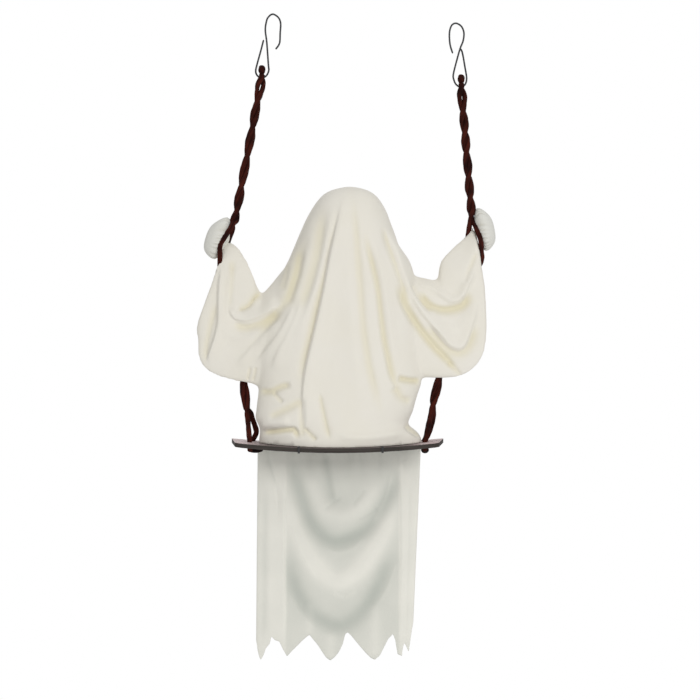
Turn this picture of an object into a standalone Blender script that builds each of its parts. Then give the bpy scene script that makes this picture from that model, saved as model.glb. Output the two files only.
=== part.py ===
"""A ghost that sits on a swing, made as a hanging party decoration.

Two wire S-hooks carry two ropes of two twisted cloth strands each. The ropes pass either side of
the stuffed hands and go down through the ends of a thin flexible seat board. The figure is a cloth
robe with a hood and two wide sleeves over a hollow head form, a stuffed body, a spine tube and one
bent arm wire. Its skirt hangs from the front edge of the seat.

Metres. +X runs to the right when the figure is seen from behind, +Y is the way it faces, +Z is up.
The origin is where the left hook's crown bears on whatever holds it up.
"""
import math

import bmesh
import bpy
import numpy as np

MM = 0.001
GAP = 0.3 * MM                      # left between pieces that touch
WELD_REACH = 0.1 * MM               # points closer than this, left by a cut, are joined
HALF_TURN = math.pi
SMOOTH_ANGLE = math.radians(40)     # edges that turn less than this are shaded smooth
KNOT_SMOOTH_ANGLE = math.radians(60)
ROUNDING_POINTS = 5                 # averaged on each side when a route is rounded

# Hooks: one wire each, crown to the bottom of the lower loop
WIRE_DIAMETER = 2.5 * MM
HOOK_HEIGHT = 90.3 * MM
HANG_SPAN = 260.1 * MM
HANG_STEP = 12.9 * MM               # the right hook hangs this much lower
HOOK_CROSSING = 4.0 * MM            # the right hook's end is bent out of its plane where it crosses
HOOK_POINTS = 34

# Ropes: two twisted strands each
STRAND_DIAMETER = 6.4 * MM
STRAND_CLEARANCE = 0.8 * MM
STRAND_STEP = 8.0 * MM              # between the points of a strand's curve
ROUND_START_SHARES = (0.998, 0.94, 0.77, 0.5)  # rings of the rounded end, shares of the radius out
STRAND_ROUNDING = 9.0 * MM          # how far the route is rounded at its corners
EYE_CLEARANCE = 0.9 * MM            # strand to wire, in the hook's lower loop
EYE_STAND = 5.0 * MM                # the knot's underside above the wire
LEFT_UPPER_OUT = 37.5 * MM          # hook eye to the turning point above the wrist, sideways
LEFT_UPPER_FALL = 198.4 * MM        # and down
RIGHT_UPPER_OUT = 14.6 * MM
RIGHT_UPPER_FALL = 177.2 * MM
LEFT_HALF_TURNS = 5.5
RIGHT_HALF_TURNS = 6.5
LOWER_HALF_TURNS = 5.0
LEFT_WRIST_OUT = 13.5 * MM          # turning point to the wrist
LEFT_WRIST_FALL = 34.0 * MM
RIGHT_WRIST_OUT = 4.1 * MM
RIGHT_WRIST_FALL = 28.3 * MM
WRIST_SPREAD = 12.2 * MM            # strand to wrist centre
ROPE_FORWARD = 12.0 * MM            # the rope lies this far in front of the sleeve

# Knots
TOP_KNOT_WIDTH = 10.4 * MM
TOP_KNOT_DEPTH = 17.0 * MM
TOP_KNOT_HEIGHT = 12.4 * MM
TOP_KNOT_ARC = (math.radians(-50), math.radians(79))     # of the egg that it is cut from
KNOT_LUMPS = 3
KNOT_LUMP_SHARE = 0.06
KNOT_END_POWER = 0.5
KNOT_COLUMNS = 14
KNOT_RINGS = 7
BOTTOM_KNOT_WIDTH = 13.0 * MM
BOTTOM_KNOT_DEPTH = 14.0 * MM
BOTTOM_KNOT_HEIGHT = 11.0 * MM
BOTTOM_KNOT_EDGE = 3.0 * MM

# Seat board
BOARD_END = 24.0 * MM               # beyond the holes, at the middle of its depth
BOARD_FLARE = 12.0 * MM             # its front edge is longer by this, and its back edge shorter
BOARD_DEPTH = 124.0 * MM
BOARD_THICKNESS = 6.0 * MM
BOARD_CORNER = 9.0 * MM
BOARD_SAG = 7.5 * MM                # middle below the ends
BOARD_DROOP = 2.0 * MM              # back edge below the rest, at the middle
BOARD_FALL = 287.0 * MM             # top of the board's ends below the middle of the wrists
BOARD_BACK = -5.2 * MM              # its middle behind the rope plane, so that the swing hangs level
BOARD_SHIFT = -18.1 * MM            # board's middle to the left of the middle of the wrists
HOLE_MARGIN = 8.0 * MM              # hole's middle outside the robe's width
HOLE_DEPTH_SPAN = 40.0 * MM
HOLE_CLEARANCE = 0.6 * MM
HOLE_COLUMNS = 14
STRAND_BEND = 6.0 * MM              # bend of a strand under the board
BOARD_COLUMNS = 12
BOARD_ROWS = 5

# Ties at the back edge of the board
TIE_SPAN = 116.0 * MM
TIE_SHIFT = 5.0 * MM                # their middle, to the right of the board's middle
TIE_WIDTH = 3.0 * MM
TIE_THICKNESS = 1.2 * MM
TIE_LEG = 7.0 * MM

# Robe: hood and body
ROBE_HEIGHT = 358.0 * MM            # crown above the board's ends
ROBE_WIDTH = 230.0 * MM             # of the body under the hood
SEAT_RIM = 2.0 * MM                 # of the board, behind the robe's deepest fold
HOOD_CLEARANCE = 3.3 * MM           # cloth to the head form's side
ROBE_WALL = 2.5 * MM
ROBE_FOLD = 6.0 * MM                # how far a full fold stands out
ROBE_BACK = -8.2 * MM               # middle of the robe's depth, from the rope plane
ROBE_COLUMNS = 36
LAP_REACH = 8.0 * MM                # the lap in front of the body, over the seat
ARM_HOLE_RADIUS = 10.0 * MM

# Inside the robe
HEAD_RADIUS = 53.0 * MM
HEAD_WALL = 2.0 * MM
HEAD_COLUMNS = 20
HEAD_RINGS = 11
HEAD_POLE = math.radians(5)
NECK_SOCKET = 24.0 * MM             # how far the socket reaches up into the head form
SOCKET_WALL = 2.0 * MM
SPINE_DIAMETER = 16.0 * MM
SPINE_WALL = 1.6 * MM
SPINE_COLUMNS = 16
FLANGE_DIAMETER = 50.0 * MM
FLANGE_THICKNESS = 4.0 * MM
FLANGE_BOSS_HEIGHT = 14.0 * MM
FLANGE_BOSS_WALL = 2.5 * MM
ARM_WIRE_DIAMETER = 3.2 * MM
ARM_ROUNDING = 8.0 * MM
SHOULDER_DROP = 154.0 * MM          # arm wire below the crown
LEFT_ELBOW_IN = 44.0 * MM           # from the wrist towards the body
LEFT_ELBOW_FALL = 97.0 * MM         # and down
RIGHT_ELBOW_IN = 52.0 * MM
RIGHT_ELBOW_FALL = 98.0 * MM
SHOULDER_INSET = 4.0 * MM           # of each shoulder's bend, from the robe's half width
PADDING_DROP = 25.0 * MM            # its top below the arm wire

# Hands
HAND_LENGTH = 29.0 * MM
HAND_RADIUS = 27.0 * MM
HAND_NECK_RADIUS = 5.2 * MM
HAND_NECK_LENGTH = 12.0 * MM
HAND_TILT = math.radians(33)
HAND_GATHERS = 9
HAND_GATHER_SHARE = 0.06
HAND_GATHER_PLACE = 0.3             # share of the hand's length where they are deepest
HAND_COLUMNS = 24
HAND_WIRE_REACH = 17.0 * MM

# Sleeves
LEFT_SLEEVE_WIDTH = 117.0 * MM
LEFT_SLEEVE_HEIGHT = 212.0 * MM
RIGHT_SLEEVE_WIDTH = 112.0 * MM
RIGHT_SLEEVE_HEIGHT = 202.0 * MM
SLEEVE_DEPTH = 34.0 * MM            # at the body
SLEEVE_EDGE = 7.0 * MM              # depth where it is thinnest
SLEEVE_BACK = -11.0 * MM            # the bag's middle, behind the rope plane
SLEEVE_FOLD = 3.5 * MM
SLEEVE_CLEARANCE = 0.5 * MM         # to the body's uneven cloth
SLEEVE_COLUMNS = 14
SLEEVE_ROWS = 15

# Skirt
SKIRT_LENGTH = 312.0 * MM           # hinge line to the lowest point
SKIRT_WIDTH = 232.0 * MM
SKIRT_HEM_WIDTH = 226.0 * MM
SKIRT_BEAD_RADIUS = 5.0 * MM        # the gathered top edge that turns on the seat's front edge
SKIRT_NECK = 5.0 * MM               # depth just under the bead
SKIRT_DEPTH = 11.0 * MM             # of the two layers together
SKIRT_FOLD = 3.4 * MM
SKIRT_HEM_CUT = 38.0 * MM           # a full notch of the hem
SKIRT_SHIFT = 2.0 * MM              # its middle from the board's middle, at the top
SKIRT_HEM_SHIFT = -4.5 * MM
SKIRT_ROWS = 12

# Face
FACE_EYE_WIDTH = 17.0 * MM
FACE_EYE_HEIGHT = 27.0 * MM
MOUTH_WIDTH = 19.0 * MM
MOUTH_HEIGHT = 30.0 * MM
FACE_EYE_SPAN = 40.0 * MM
FACE_EYE_DROP = 62.0 * MM           # eye centres below the crown
MOUTH_DROP = 104.0 * MM
FELT_THICKNESS = 1.2 * MM
PATCH_CLEARANCE = 1.0 * MM          # off the hood, whose folds reach up to it
PATCH_COLUMNS = 14
PATCH_SHARES = (0.05, 0.6, 1.0)     # its rings

# Wire outlines: shares of HOOK_HEIGHT to the right of the crown and below it
LEFT_HOOK_SHARES = (
    (0.047, 0.552), (0.108, 0.455), (0.119, 0.295), (0.125, 0.138), (0.085, 0.047), (0.0, 0.0),
    (-0.072, 0.052), (-0.102, 0.138), (-0.114, 0.257), (-0.091, 0.448), (-0.066, 0.796),
    (-0.060, 0.881), (-0.096, 0.962), (-0.168, 1.0), (-0.237, 0.966), (-0.265, 0.893),
    (-0.240, 0.773), (-0.188, 0.585), (-0.141, 0.401))
RIGHT_HOOK_SHARES = (
    (-0.056, 0.473), (-0.094, 0.351), (-0.108, 0.227), (-0.102, 0.113), (-0.067, 0.026), (0.0, 0.0),
    (0.080, 0.049), (0.119, 0.148), (0.107, 0.274), (0.060, 0.397), (0.003, 0.598), (-0.046, 0.799),
    (-0.040, 0.881), (0.0, 0.963), (0.077, 1.0), (0.141, 0.954), (0.162, 0.858), (0.136, 0.680),
    (0.096, 0.456), (0.062, 0.385))
RIGHT_CROSSING_SHARES = (0.0, 0.84, 0.93, 1.0)          # along the wire: where it leaves its plane
RIGHT_CROSSING_REACH_SHARES = (0.0, 0.0, 0.6, 1.0)

# The rope below the wrist: share of the way to the board, then shares of ROPE_FORWARD, of the
# wrist or hole spread, and of the turns
LOWER_WAY_SHARES = (0.0, 0.03, 0.065, 0.10, 0.14, 0.78, 0.87, 0.95, 1.0)
LOWER_FORWARD_SHARES = (0.0, 0.25, 0.65, 0.95, 1.0, 0.75, 0.35, 0.0, 0.0)
LOWER_SPREAD_SHARES = (1.0, 0.94, 0.68, 0.45, 0.0, 0.0, 0.42, 0.9, 1.0)
WRIST_TURN_SHARE = 0.37             # of a half turn, at the wrist
SPLIT_TURN_SHARE = 0.5
MIDDLE_TURN_SHARE = 0.6             # of that turn, halfway to the wrist
GATHERED_TURN_SHARE = 0.93          # of the upper rope's turns, where its strands come together

# Robe sections. Body: height as a share of the body's height, half width and half depth as shares
# of the body's, and place of the middle between the seat's and the crown's middles.
BODY_SECTION_SHARES = (
    (0.0, 0.93, 1.0, 0.0), (0.0458, 0.94, 1.0, 0.0), (0.1374, 0.92, 0.988, -0.05),
    (0.2336, 0.95, 0.976, 0.05), (0.3298, 0.975, 0.965, 0.22), (0.4962, 0.95, 0.929, 0.3),
    (0.6764, 0.915, 0.929, 0.48), (0.8565, 0.885, 0.953, 0.6))
# Hood: drop below the crown, half width and half depth as shares of the hood's radius, and middle
HOOD_SECTION_SHARES = (
    (2.1, 1.643, 0.878, 0.72), (1.717, 1.428, 0.939, 0.85), (1.34, 1.232, 0.99, 0.88),
    (0.956, 1.076, 1.0, 0.93), (0.572, 0.909, 0.918, 0.97), (0.384, 0.802, 0.816, 1.0),
    (0.189, 0.645, 0.622, 1.0), (0.091, 0.489, 0.469, 1.0), (0.03, 0.293, 0.306, 1.0),
    (0.0, 0.137, 0.133, 1.0))
HOOD_START_SHARE = 0.655            # of the robe's rows and folds, counted from the seat
SEAT_MIDDLE = -2.5 * MM             # robe's middle from the board's middle, at the seat
CROWN_MIDDLE = 17.0 * MM            # and at the crown
LAP_SHARES = (1.0, 0.95, 0.75, 0.45, 0.15, 0.0)         # of LAP_REACH, at the body's first sections
ROBE_ROW_SHARES = (0.0, 0.04, 0.10, 0.17, 0.24, 0.32, 0.40, 0.48, 0.56, 0.64, 0.71, 0.78, 0.84,
                   0.89, 0.93, 0.962, 0.985, 0.995, 1.0)
INNER_ROW_SHARES = (0.0, 0.16, 0.34, 0.50, 0.72, 0.82, 0.88, 0.925, 0.96, 0.985, 0.995, 1.0)
PADDING_STEP_SHARE = 0.05           # least step between the padding's last two rows
FOLD_FADE_SHARE = 0.14              # of the robe's height, over which a fold fades at its end
FOLD_LIMIT_SHARE = 1.2              # where folds cross
# Folds of the robe: turn share at the seat and at the crown, lowest and highest height, width as
# a share of a turn, height of the fold. A turn starts at the middle of the back, towards +X.
ROBE_FOLD_SHARES = (
    (-0.066, -0.030, 0.00, 0.97, 0.024, 1.2),
    (0.075, 0.020, 0.05, 0.90, 0.024, 1.0),
    (0.145, 0.080, 0.10, 0.75, 0.024, 1.0),
    (-0.145, -0.110, 0.00, 0.80, 0.026, 0.9),
    (0.005, -0.005, 0.00, 0.40, 0.022, 0.7),
    (0.300, 0.340, 0.00, 0.70, 0.030, 0.8),
    (0.390, 0.430, 0.00, 0.62, 0.028, 0.7),
    (0.480, 0.500, 0.00, 0.58, 0.028, 0.8),
    (0.570, 0.550, 0.00, 0.62, 0.028, 0.7),
    (0.670, 0.640, 0.00, 0.70, 0.030, 0.8))

# Sleeve outlines, body end to wrist end: shares of the bag's width from its outer side, and of
# its height below the top of the wrist end
LEFT_SLEEVE_TOP_SHARES = ((1.0, 0.32), (0.84, 0.335), (0.745, 0.375), (0.678, 0.293),
                          (0.609, 0.187), (0.54, 0.093), (0.50, 0.02))
LEFT_SLEEVE_BOTTOM_SHARES = ((1.0, 1.005), (0.80, 1.01), (0.52, 0.97), (0.207, 0.925),
                             (0.046, 0.84), (0.0, 0.627), (0.069, 0.493), (0.149, 0.36),
                             (0.218, 0.25), (0.40, 0.18))
RIGHT_SLEEVE_TOP_SHARES = ((1.0, 0.28), (0.80, 0.275), (0.61, 0.27), (0.57, 0.19), (0.48, 0.105),
                           (0.37, 0.05), (0.27, 0.0))
RIGHT_SLEEVE_BOTTOM_SHARES = ((1.0, 0.965), (0.78, 0.985), (0.48, 1.0), (0.24, 0.97),
                              (0.06, 0.89), (0.0, 0.76), (0.0, 0.56), (0.02, 0.38), (0.05, 0.22),
                              (0.15, 0.17))
LEFT_SLEEVE_OUTER = 43.0 * MM       # the bag's outer side beyond the wrist
RIGHT_SLEEVE_OUTER = 16.5 * MM
LEFT_SLEEVE_TOP = 8.0 * MM          # the wrist end's top above the wrist
RIGHT_SLEEVE_TOP = -1.0 * MM
SLEEVE_SWAGS = 3                    # folds that hang between the arm and the bag's outer side
SWAG_START_SHARE = 0.15             # of the way to the wrist
SLEEVE_HEM_THINNING = 0.35          # share of the thickness lost towards the bag's bottom
SLEEVE_TAPER_POWER = 0.7            # how the thickness falls towards the wrist
SLEEVE_LEAN_SHARE = 0.45            # of SLEEVE_BACK, at the body
SLEEVE_LEAN_REACH = 0.8             # share of the bag's height over which it leans back

# Hem of the skirt: share of its width from the left, share of a full notch
HEM_SHARES = ((0.0, 0.92), (0.02, 0.02), (0.095, 0.90), (0.194, 0.14), (0.343, 0.95),
              (0.477, 0.0), (0.570, 1.05), (0.765, 0.05), (0.879, 1.0), (0.934, 0.17),
              (0.953, 0.55), (0.986, 0.33), (1.0, 1.2))
HEM_MIDS = 1                        # columns between two points of the hem
SKIRT_BEAD_ANGLES = np.radians((83, 50, 15, -25))
SKIRT_BEAD_REACH = 1.3              # bead radii from the hinge line down to the layers
SKIRT_ROW_POWER = 1.1
SKIRT_FILL_SHARE = 0.12             # of the length, over which the layers open out
SKIRT_SIDE_THINNING = 0.6
HEM_THINNING = 0.55
HEM_THIN_SHARE = 0.15
SKIRT_SWAGS = 3
SWAG_DROP_SHARE = 0.30              # how far a swag hangs at its middle
PLEAT_SHARES = ((0.03, 0.06, 1.0), (0.15, 0.05, -0.8), (0.88, 0.05, 0.9), (0.97, 0.03, -0.5))

# Hand profile, outwards from the wrist: axial place, height and depth. The rope pinches its depth.
HAND_AXIAL_SHARES = (-0.10, 0.06, 0.24, 0.40, 0.58, 0.76, 0.90, 0.98)
HAND_HEIGHT_SHARES = (0.32, 0.52, 0.82, 1.0, 0.98, 0.82, 0.54, 0.24)
HAND_DEPTH_SHARES = (0.20, 0.23, 0.32, 0.56, 0.74, 0.70, 0.46, 0.2)


def clear_scene():
    for thing in list(bpy.data.objects):
        bpy.data.objects.remove(thing)


def make_material(name, color, roughness, metallic=0.0):
    material = bpy.data.materials.new(name)
    material.use_nodes = True
    shader = material.node_tree.nodes["Principled BSDF"]
    shader.inputs["Base Color"].default_value = (*color, 1)
    shader.inputs["Roughness"].default_value = roughness
    shader.inputs["Metallic"].default_value = metallic
    return material


def cream_cloth(name):
    return make_material(name, (0.80, 0.77, 0.66), 0.9)


def rope_cloth(name):
    return make_material(name, (0.07, 0.02, 0.015), 0.85)


def black_wire(name):
    return make_material(name, (0.02, 0.025, 0.03), 0.35, 0.8)


def link(data, name, material, parent=None):
    """One object, named like its piece, holding a mesh or a curve."""
    thing = bpy.data.objects.new(name, data)
    data.materials.append(material)
    bpy.context.scene.collection.objects.link(thing)
    thing.parent = parent
    return thing


def make_empty(name, place, parent=None):
    """An empty on a joint's line, whose children keep their own places in the world."""
    empty = bpy.data.objects.new(name, None)
    bpy.context.scene.collection.objects.link(empty)
    empty.parent = parent
    empty.location = place if parent is None else from_parent(parent, place)
    empty["place"] = tuple(place)
    return empty


def from_parent(parent, points):
    """World points as seen from a parent empty."""
    return np.asarray(points, float) - np.array(parent["place"])


def loft(name, rings, material, parent, start="fan", end="fan"):
    """A closed solid over rings of points: a quad between each two neighbours, and an end that is
    a fan about the ring's mean or, on a flat ring, a strip from its one side to the other."""
    rings = from_parent(parent, rings)
    bm = bmesh.new()
    rows = [[bm.verts.new(point) for point in ring] for ring in rings]
    count = len(rows[0])
    for upper, lower in zip(rows, rows[1:]):
        for i in range(count):
            j = (i + 1) % count
            bm.faces.new((upper[i], upper[j], lower[j], lower[i]))
    for row, kind in ((rows[0], start), (rows[-1], end)):
        close_ring(bm, row, kind)
    return finish_mesh(bm, name, material, parent)


def close_ring(bm, row, kind):
    count = len(row)
    if kind == "fan":
        middle = bm.verts.new(np.mean([vert.co for vert in row], axis=0))
        for i in range(count):
            bm.faces.new((row[i], row[(i + 1) % count], middle))
    else:
        for i in range(count // 2 - 1):
            bm.faces.new((row[i], row[i + 1], row[count - 2 - i], row[count - 1 - i]))


def finish_mesh(bm, name, material, parent, smooth=SMOOTH_ANGLE):
    bmesh.ops.recalc_face_normals(bm, faces=bm.faces)
    mesh = bpy.data.meshes.new(name)
    bm.to_mesh(mesh)
    bm.free()
    mesh.shade_smooth()
    mesh.set_sharp_from_angle(angle=smooth)
    return link(mesh, name, material, parent)


def lathe(name, profile, columns, middle, material, parent, closed=False):
    """A solid turned about a vertical line: a ring for each (radius, height) of the profile. A
    closed profile comes back to its first ring, as a tube's does."""
    angles = np.arange(columns) * 2 * math.pi / columns
    rings = [np.stack([middle[0] + radius * np.cos(angles), middle[1] + radius * np.sin(angles),
                       np.full(columns, height)], axis=1) for radius, height in profile]
    if not closed:
        return loft(name, rings, material, parent)
    bm = bmesh.new()
    rows = [[bm.verts.new(point) for point in ring] for ring in from_parent(parent, rings)]
    for k, upper in enumerate(rows):
        lower = rows[(k + 1) % len(rows)]
        for i in range(columns):
            j = (i + 1) % columns
            bm.faces.new((upper[i], upper[j], lower[j], lower[i]))
    return finish_mesh(bm, name, material, parent)


def make_tube(name, points, diameter, material, parent, radii=None, resolution=2):
    """A round tube along points, closed at both ends."""
    curve = bpy.data.curves.new(name, "CURVE")
    curve.dimensions = "3D"
    curve.bevel_depth = diameter / 2
    curve.bevel_resolution = resolution
    curve.use_fill_caps = True
    spline = curve.splines.new("POLY")
    spline.points.add(len(points) - 1)
    for i, place in enumerate(from_parent(parent, points)):
        spline.points[i].co = (*place, 1)
        spline.points[i].radius = 1.0 if radii is None else radii[i]
    return link(curve, name, material, parent)


def as_cutter(thing):
    """Turn a piece into a guide that only cuts; a tube becomes the mesh that it evaluates to."""
    if thing.type == "CURVE":
        bpy.context.view_layer.update()
        mesh = bpy.data.meshes.new_from_object(thing.evaluated_get(bpy.context.evaluated_depsgraph_get()))
        solid = bpy.data.objects.new(thing.name + "_solid", mesh)
        bpy.context.scene.collection.objects.link(solid)
        solid.parent = thing.parent
        bpy.data.objects.remove(thing)
        thing = solid
    thing.hide_render = True
    thing.display_type = "WIRE"
    return thing


def cut(thing, cutter):
    modifier = thing.modifiers.new("cut_" + cutter.name, "BOOLEAN")
    modifier.operation = "DIFFERENCE"
    modifier.solver = "EXACT"
    modifier.object = cutter


def weld_cuts(thing):
    """Join the points that a cut left closer together than a tenth of a millimetre."""
    modifier = thing.modifiers.new("weld_cuts", "WELD")
    modifier.merge_threshold = WELD_REACH
    return thing


def smooth_path(points, rounding, step):
    """A route with its corners rounded: laid out at every tenth of the rounding, averaged twice
    over the rounding with its ends held, and read again at about every step. Extra columns, such
    as a spread or a turn, are rounded alike."""
    points = np.asarray(points, float)
    way = np.concatenate([[0], np.cumsum(np.linalg.norm(np.diff(points[:, :3], axis=0), axis=1))])
    fine = max(int(way[-1] / (rounding / 10)), 20)
    at = np.linspace(0, way[-1], fine)
    path = np.stack([np.interp(at, way, column) for column in points.T], axis=1)
    for _ in range(2):
        before = 2 * path[0] - path[ROUNDING_POINTS:0:-1]
        after = 2 * path[-1] - path[-2:-ROUNDING_POINTS - 2:-1]
        padded = np.concatenate([before, path, after])
        path = np.mean([padded[k:k + fine] for k in range(2 * ROUNDING_POINTS + 1)], axis=0)
    way = np.concatenate([[0], np.cumsum(np.linalg.norm(np.diff(path[:, :3], axis=0), axis=1))])
    count = max(int(round(way[-1] / step)), 4) + 1
    at = np.linspace(0, way[-1], count)
    return np.stack([np.interp(at, way, column) for column in path.T], axis=1)


def curve_through(points, count):
    """Points along a Catmull-Rom curve through the given ones, evenly by number."""
    points = np.asarray(points, float)
    ends = np.concatenate([[2 * points[0] - points[1]], points, [2 * points[-1] - points[-2]]])
    at = np.linspace(0, len(points) - 1, count)
    k = np.minimum(at.astype(int), len(points) - 2)
    t = (at - k)[:, None]
    p0, p1, p2, p3 = ends[k], ends[k + 1], ends[k + 2], ends[k + 3]
    return 0.5 * (2 * p1 + (p2 - p0) * t + (2 * p0 - 5 * p1 + 4 * p2 - p3) * t ** 2
                  + (3 * p1 - p0 - 3 * p2 + p3) * t ** 3)


# Places that the pieces share
WIRE_RADIUS = WIRE_DIAMETER / 2
STRAND_RADIUS = STRAND_DIAMETER / 2
PAIR_SPREAD = STRAND_RADIUS + STRAND_CLEARANCE / 2
EYE_SPREAD = WIRE_RADIUS + STRAND_RADIUS + EYE_CLEARANCE
LEFT_CROWN = np.array([0, 0, WIRE_RADIUS])
RIGHT_CROWN = np.array([HANG_SPAN, 0, WIRE_RADIUS - HANG_STEP])


def flat(pair):
    """An (x, z) pair as a place in the rope plane."""
    return np.array([pair[0], 0, pair[1]])


def lowest_share(shares):
    """The outline's own lowest point, where the rope hangs."""
    return max(shares, key=lambda share: share[1])


LEFT_EYE = LEFT_CROWN + HOOK_HEIGHT * flat((lowest_share(LEFT_HOOK_SHARES)[0], -1))
RIGHT_EYE = RIGHT_CROWN + HOOK_HEIGHT * flat((lowest_share(RIGHT_HOOK_SHARES)[0], -1))
LEFT_TURN = LEFT_EYE + flat((-LEFT_UPPER_OUT, -LEFT_UPPER_FALL))
RIGHT_TURN = RIGHT_EYE + flat((RIGHT_UPPER_OUT, -RIGHT_UPPER_FALL))
LEFT_WRIST = LEFT_TURN + flat((-LEFT_WRIST_OUT, -LEFT_WRIST_FALL))
RIGHT_WRIST = RIGHT_TURN + flat((RIGHT_WRIST_OUT, -RIGHT_WRIST_FALL))
SEAT = (LEFT_WRIST + RIGHT_WRIST) / 2 + flat((BOARD_SHIFT, -BOARD_FALL))
CROWN_HEIGHT = SEAT[2] + ROBE_HEIGHT
SPINE_X = SEAT[0] + CROWN_MIDDLE
ARM_HEIGHT = CROWN_HEIGHT - SHOULDER_DROP
HEAD_MIDDLE = CROWN_HEIGHT - ROBE_WALL - GAP - HEAD_RADIUS
HOOD_RADIUS = HEAD_RADIUS + ROBE_WALL + HOOD_CLEARANCE
HOOD_HEIGHT = HOOD_RADIUS * HOOD_SECTION_SHARES[0][0]
BODY_HALF_DEPTH = BOARD_DEPTH / 2 - SEAT_RIM - ROBE_FOLD + ROBE_BACK - BOARD_BACK
HOLE_SPAN = ROBE_WIDTH + 2 * HOLE_MARGIN
BOARD_LENGTH = HOLE_SPAN + 2 * BOARD_END
BOARD_FRONT = BOARD_BACK + BOARD_DEPTH / 2
SKIRT_HINGE = SEAT + np.array([0, BOARD_FRONT + GAP + SKIRT_BEAD_RADIUS,
                               -BOARD_SAG * 0.75 - BOARD_THICKNESS / 2])


def board_top(x, y):
    """Height of the board's top: a parabola along its length, and its back edge droops."""
    along = (np.asarray(x) - SEAT[0]) / ((BOARD_LENGTH + BOARD_FLARE) / 2)
    back = np.clip((BOARD_BACK - np.asarray(y)) / (BOARD_DEPTH / 2), 0, 1)
    bow = 1 - np.clip(along ** 2, 0, 1)
    return SEAT[2] - BOARD_SAG * bow - BOARD_DROOP * bow * back ** 3


def make_hook(name, crown, shares, parent, crossing=False):
    """One wire bent along its outline, with its end lifted out of plane where it would cross."""
    shares = curve_through(shares, HOOK_POINTS)
    points = crown + HOOK_HEIGHT * np.stack([shares[:, 0], 0 * shares[:, 0], -shares[:, 1]], axis=1)
    if crossing:
        along = np.linspace(0, 1, HOOK_POINTS)
        points[:, 1] += HOOK_CROSSING * np.interp(along, RIGHT_CROSSING_SHARES,
                                                  RIGHT_CROSSING_REACH_SHARES)
    return make_tube(name, points, WIRE_DIAMETER, black_wire(name), parent)


def strand_of(pair, side, far):
    """One strand of a twisted pair. A row of the pair holds its middle, its spread and its turn in
    half turns; the near strand starts on the outer side and turns towards the back."""
    angle = pair[:, 4] * HALF_TURN + (HALF_TURN if far else 0)
    offset = np.stack([side * np.cos(angle), -np.sin(angle), 0 * angle], axis=1)
    return pair[:, :3] + pair[:, 3:4] * offset


def upper_pair(eye, turn, half_turns):
    """The twisted pair from over the hook's wire down to the turning point above the wrist."""
    down = (turn - eye) / np.linalg.norm(turn - eye)
    end = turn - down * (STRAND_RADIUS + GAP)
    start = eye + flat((0, EYE_STAND - GAP))
    under = eye + down * STRAND_DIAMETER
    gathered = eye + down * 3 * STRAND_DIAMETER
    rows = [(*start, EYE_SPREAD, -half_turns), (*eye, EYE_SPREAD, -half_turns),
            (*under, EYE_SPREAD, -half_turns),
            (*gathered, PAIR_SPREAD, -half_turns * GATHERED_TURN_SHARE), (*end, PAIR_SPREAD, 0)]
    return smooth_path(rows, STRAND_ROUNDING, STRAND_STEP)


def lower_pair(turn, wrist, hole):
    """The pair from the turning point, either side of the wrist, in front of the sleeve, and
    through the two holes of the board to the knot under it."""
    way = np.array(LOWER_WAY_SHARES)[:, None]
    middle = wrist + (hole - wrist) * way
    middle[:, 1] += ROPE_FORWARD * np.array(LOWER_FORWARD_SHARES)
    wide = np.where(way[:, 0] < 0.5, WRIST_SPREAD, HOLE_DEPTH_SPAN / 2)
    spread = PAIR_SPREAD + (wide - PAIR_SPREAD) * np.array(LOWER_SPREAD_SHARES)
    split = LOWER_HALF_TURNS + SPLIT_TURN_SHARE
    turns = np.interp(way[:, 0], (0, LOWER_WAY_SHARES[3], LOWER_WAY_SHARES[5], 1),
                      (WRIST_TURN_SHARE, SPLIT_TURN_SHARE, split, split))
    rows = [(*turn, PAIR_SPREAD, 0),
            (*(turn + wrist) / 2, (PAIR_SPREAD + WRIST_SPREAD) / 2, WRIST_TURN_SHARE * MIDDLE_TURN_SHARE)]
    rows += [(*place, *rest) for place, *rest in zip(middle, spread, turns)]
    under = hole[2] - BOARD_THICKNESS
    low = under - STRAND_RADIUS - STRAND_BEND
    side = HOLE_DEPTH_SPAN / 2
    stop = BOTTOM_KNOT_DEPTH / 2 + GAP
    rows += [(hole[0], 0, under, side, split), (hole[0], 0, low + STRAND_BEND, side, split)]
    bend = [(hole[0], 0, low + STRAND_BEND * (1 - math.sin(t)),
             side - STRAND_BEND * (1 - math.cos(t)), split)
            for t in (math.pi / 8, math.pi / 4, 3 * math.pi / 8, math.pi / 2)]
    path = smooth_path(rows, STRAND_ROUNDING, STRAND_STEP)
    tail = np.array(bend + [(hole[0], 0, low, (side - STRAND_BEND + stop) / 2, split),
                            (hole[0], 0, low, stop, split)])
    return np.concatenate([path, tail])


def round_start(points):
    """A hemisphere on the tube's first end, about its first point: shares of the tube's radius
    for extra points set out beyond it."""
    shares = np.array(ROUND_START_SHARES)
    back = (points[0] - points[1]) / np.linalg.norm(points[0] - points[1])
    extra = [points[0] + back * STRAND_RADIUS * share for share in shares]
    radii = [math.sqrt(max(1 - share ** 2, 0.0)) for share in shares]
    return np.concatenate([extra, points]), radii + [1.0] * len(points)


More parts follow.
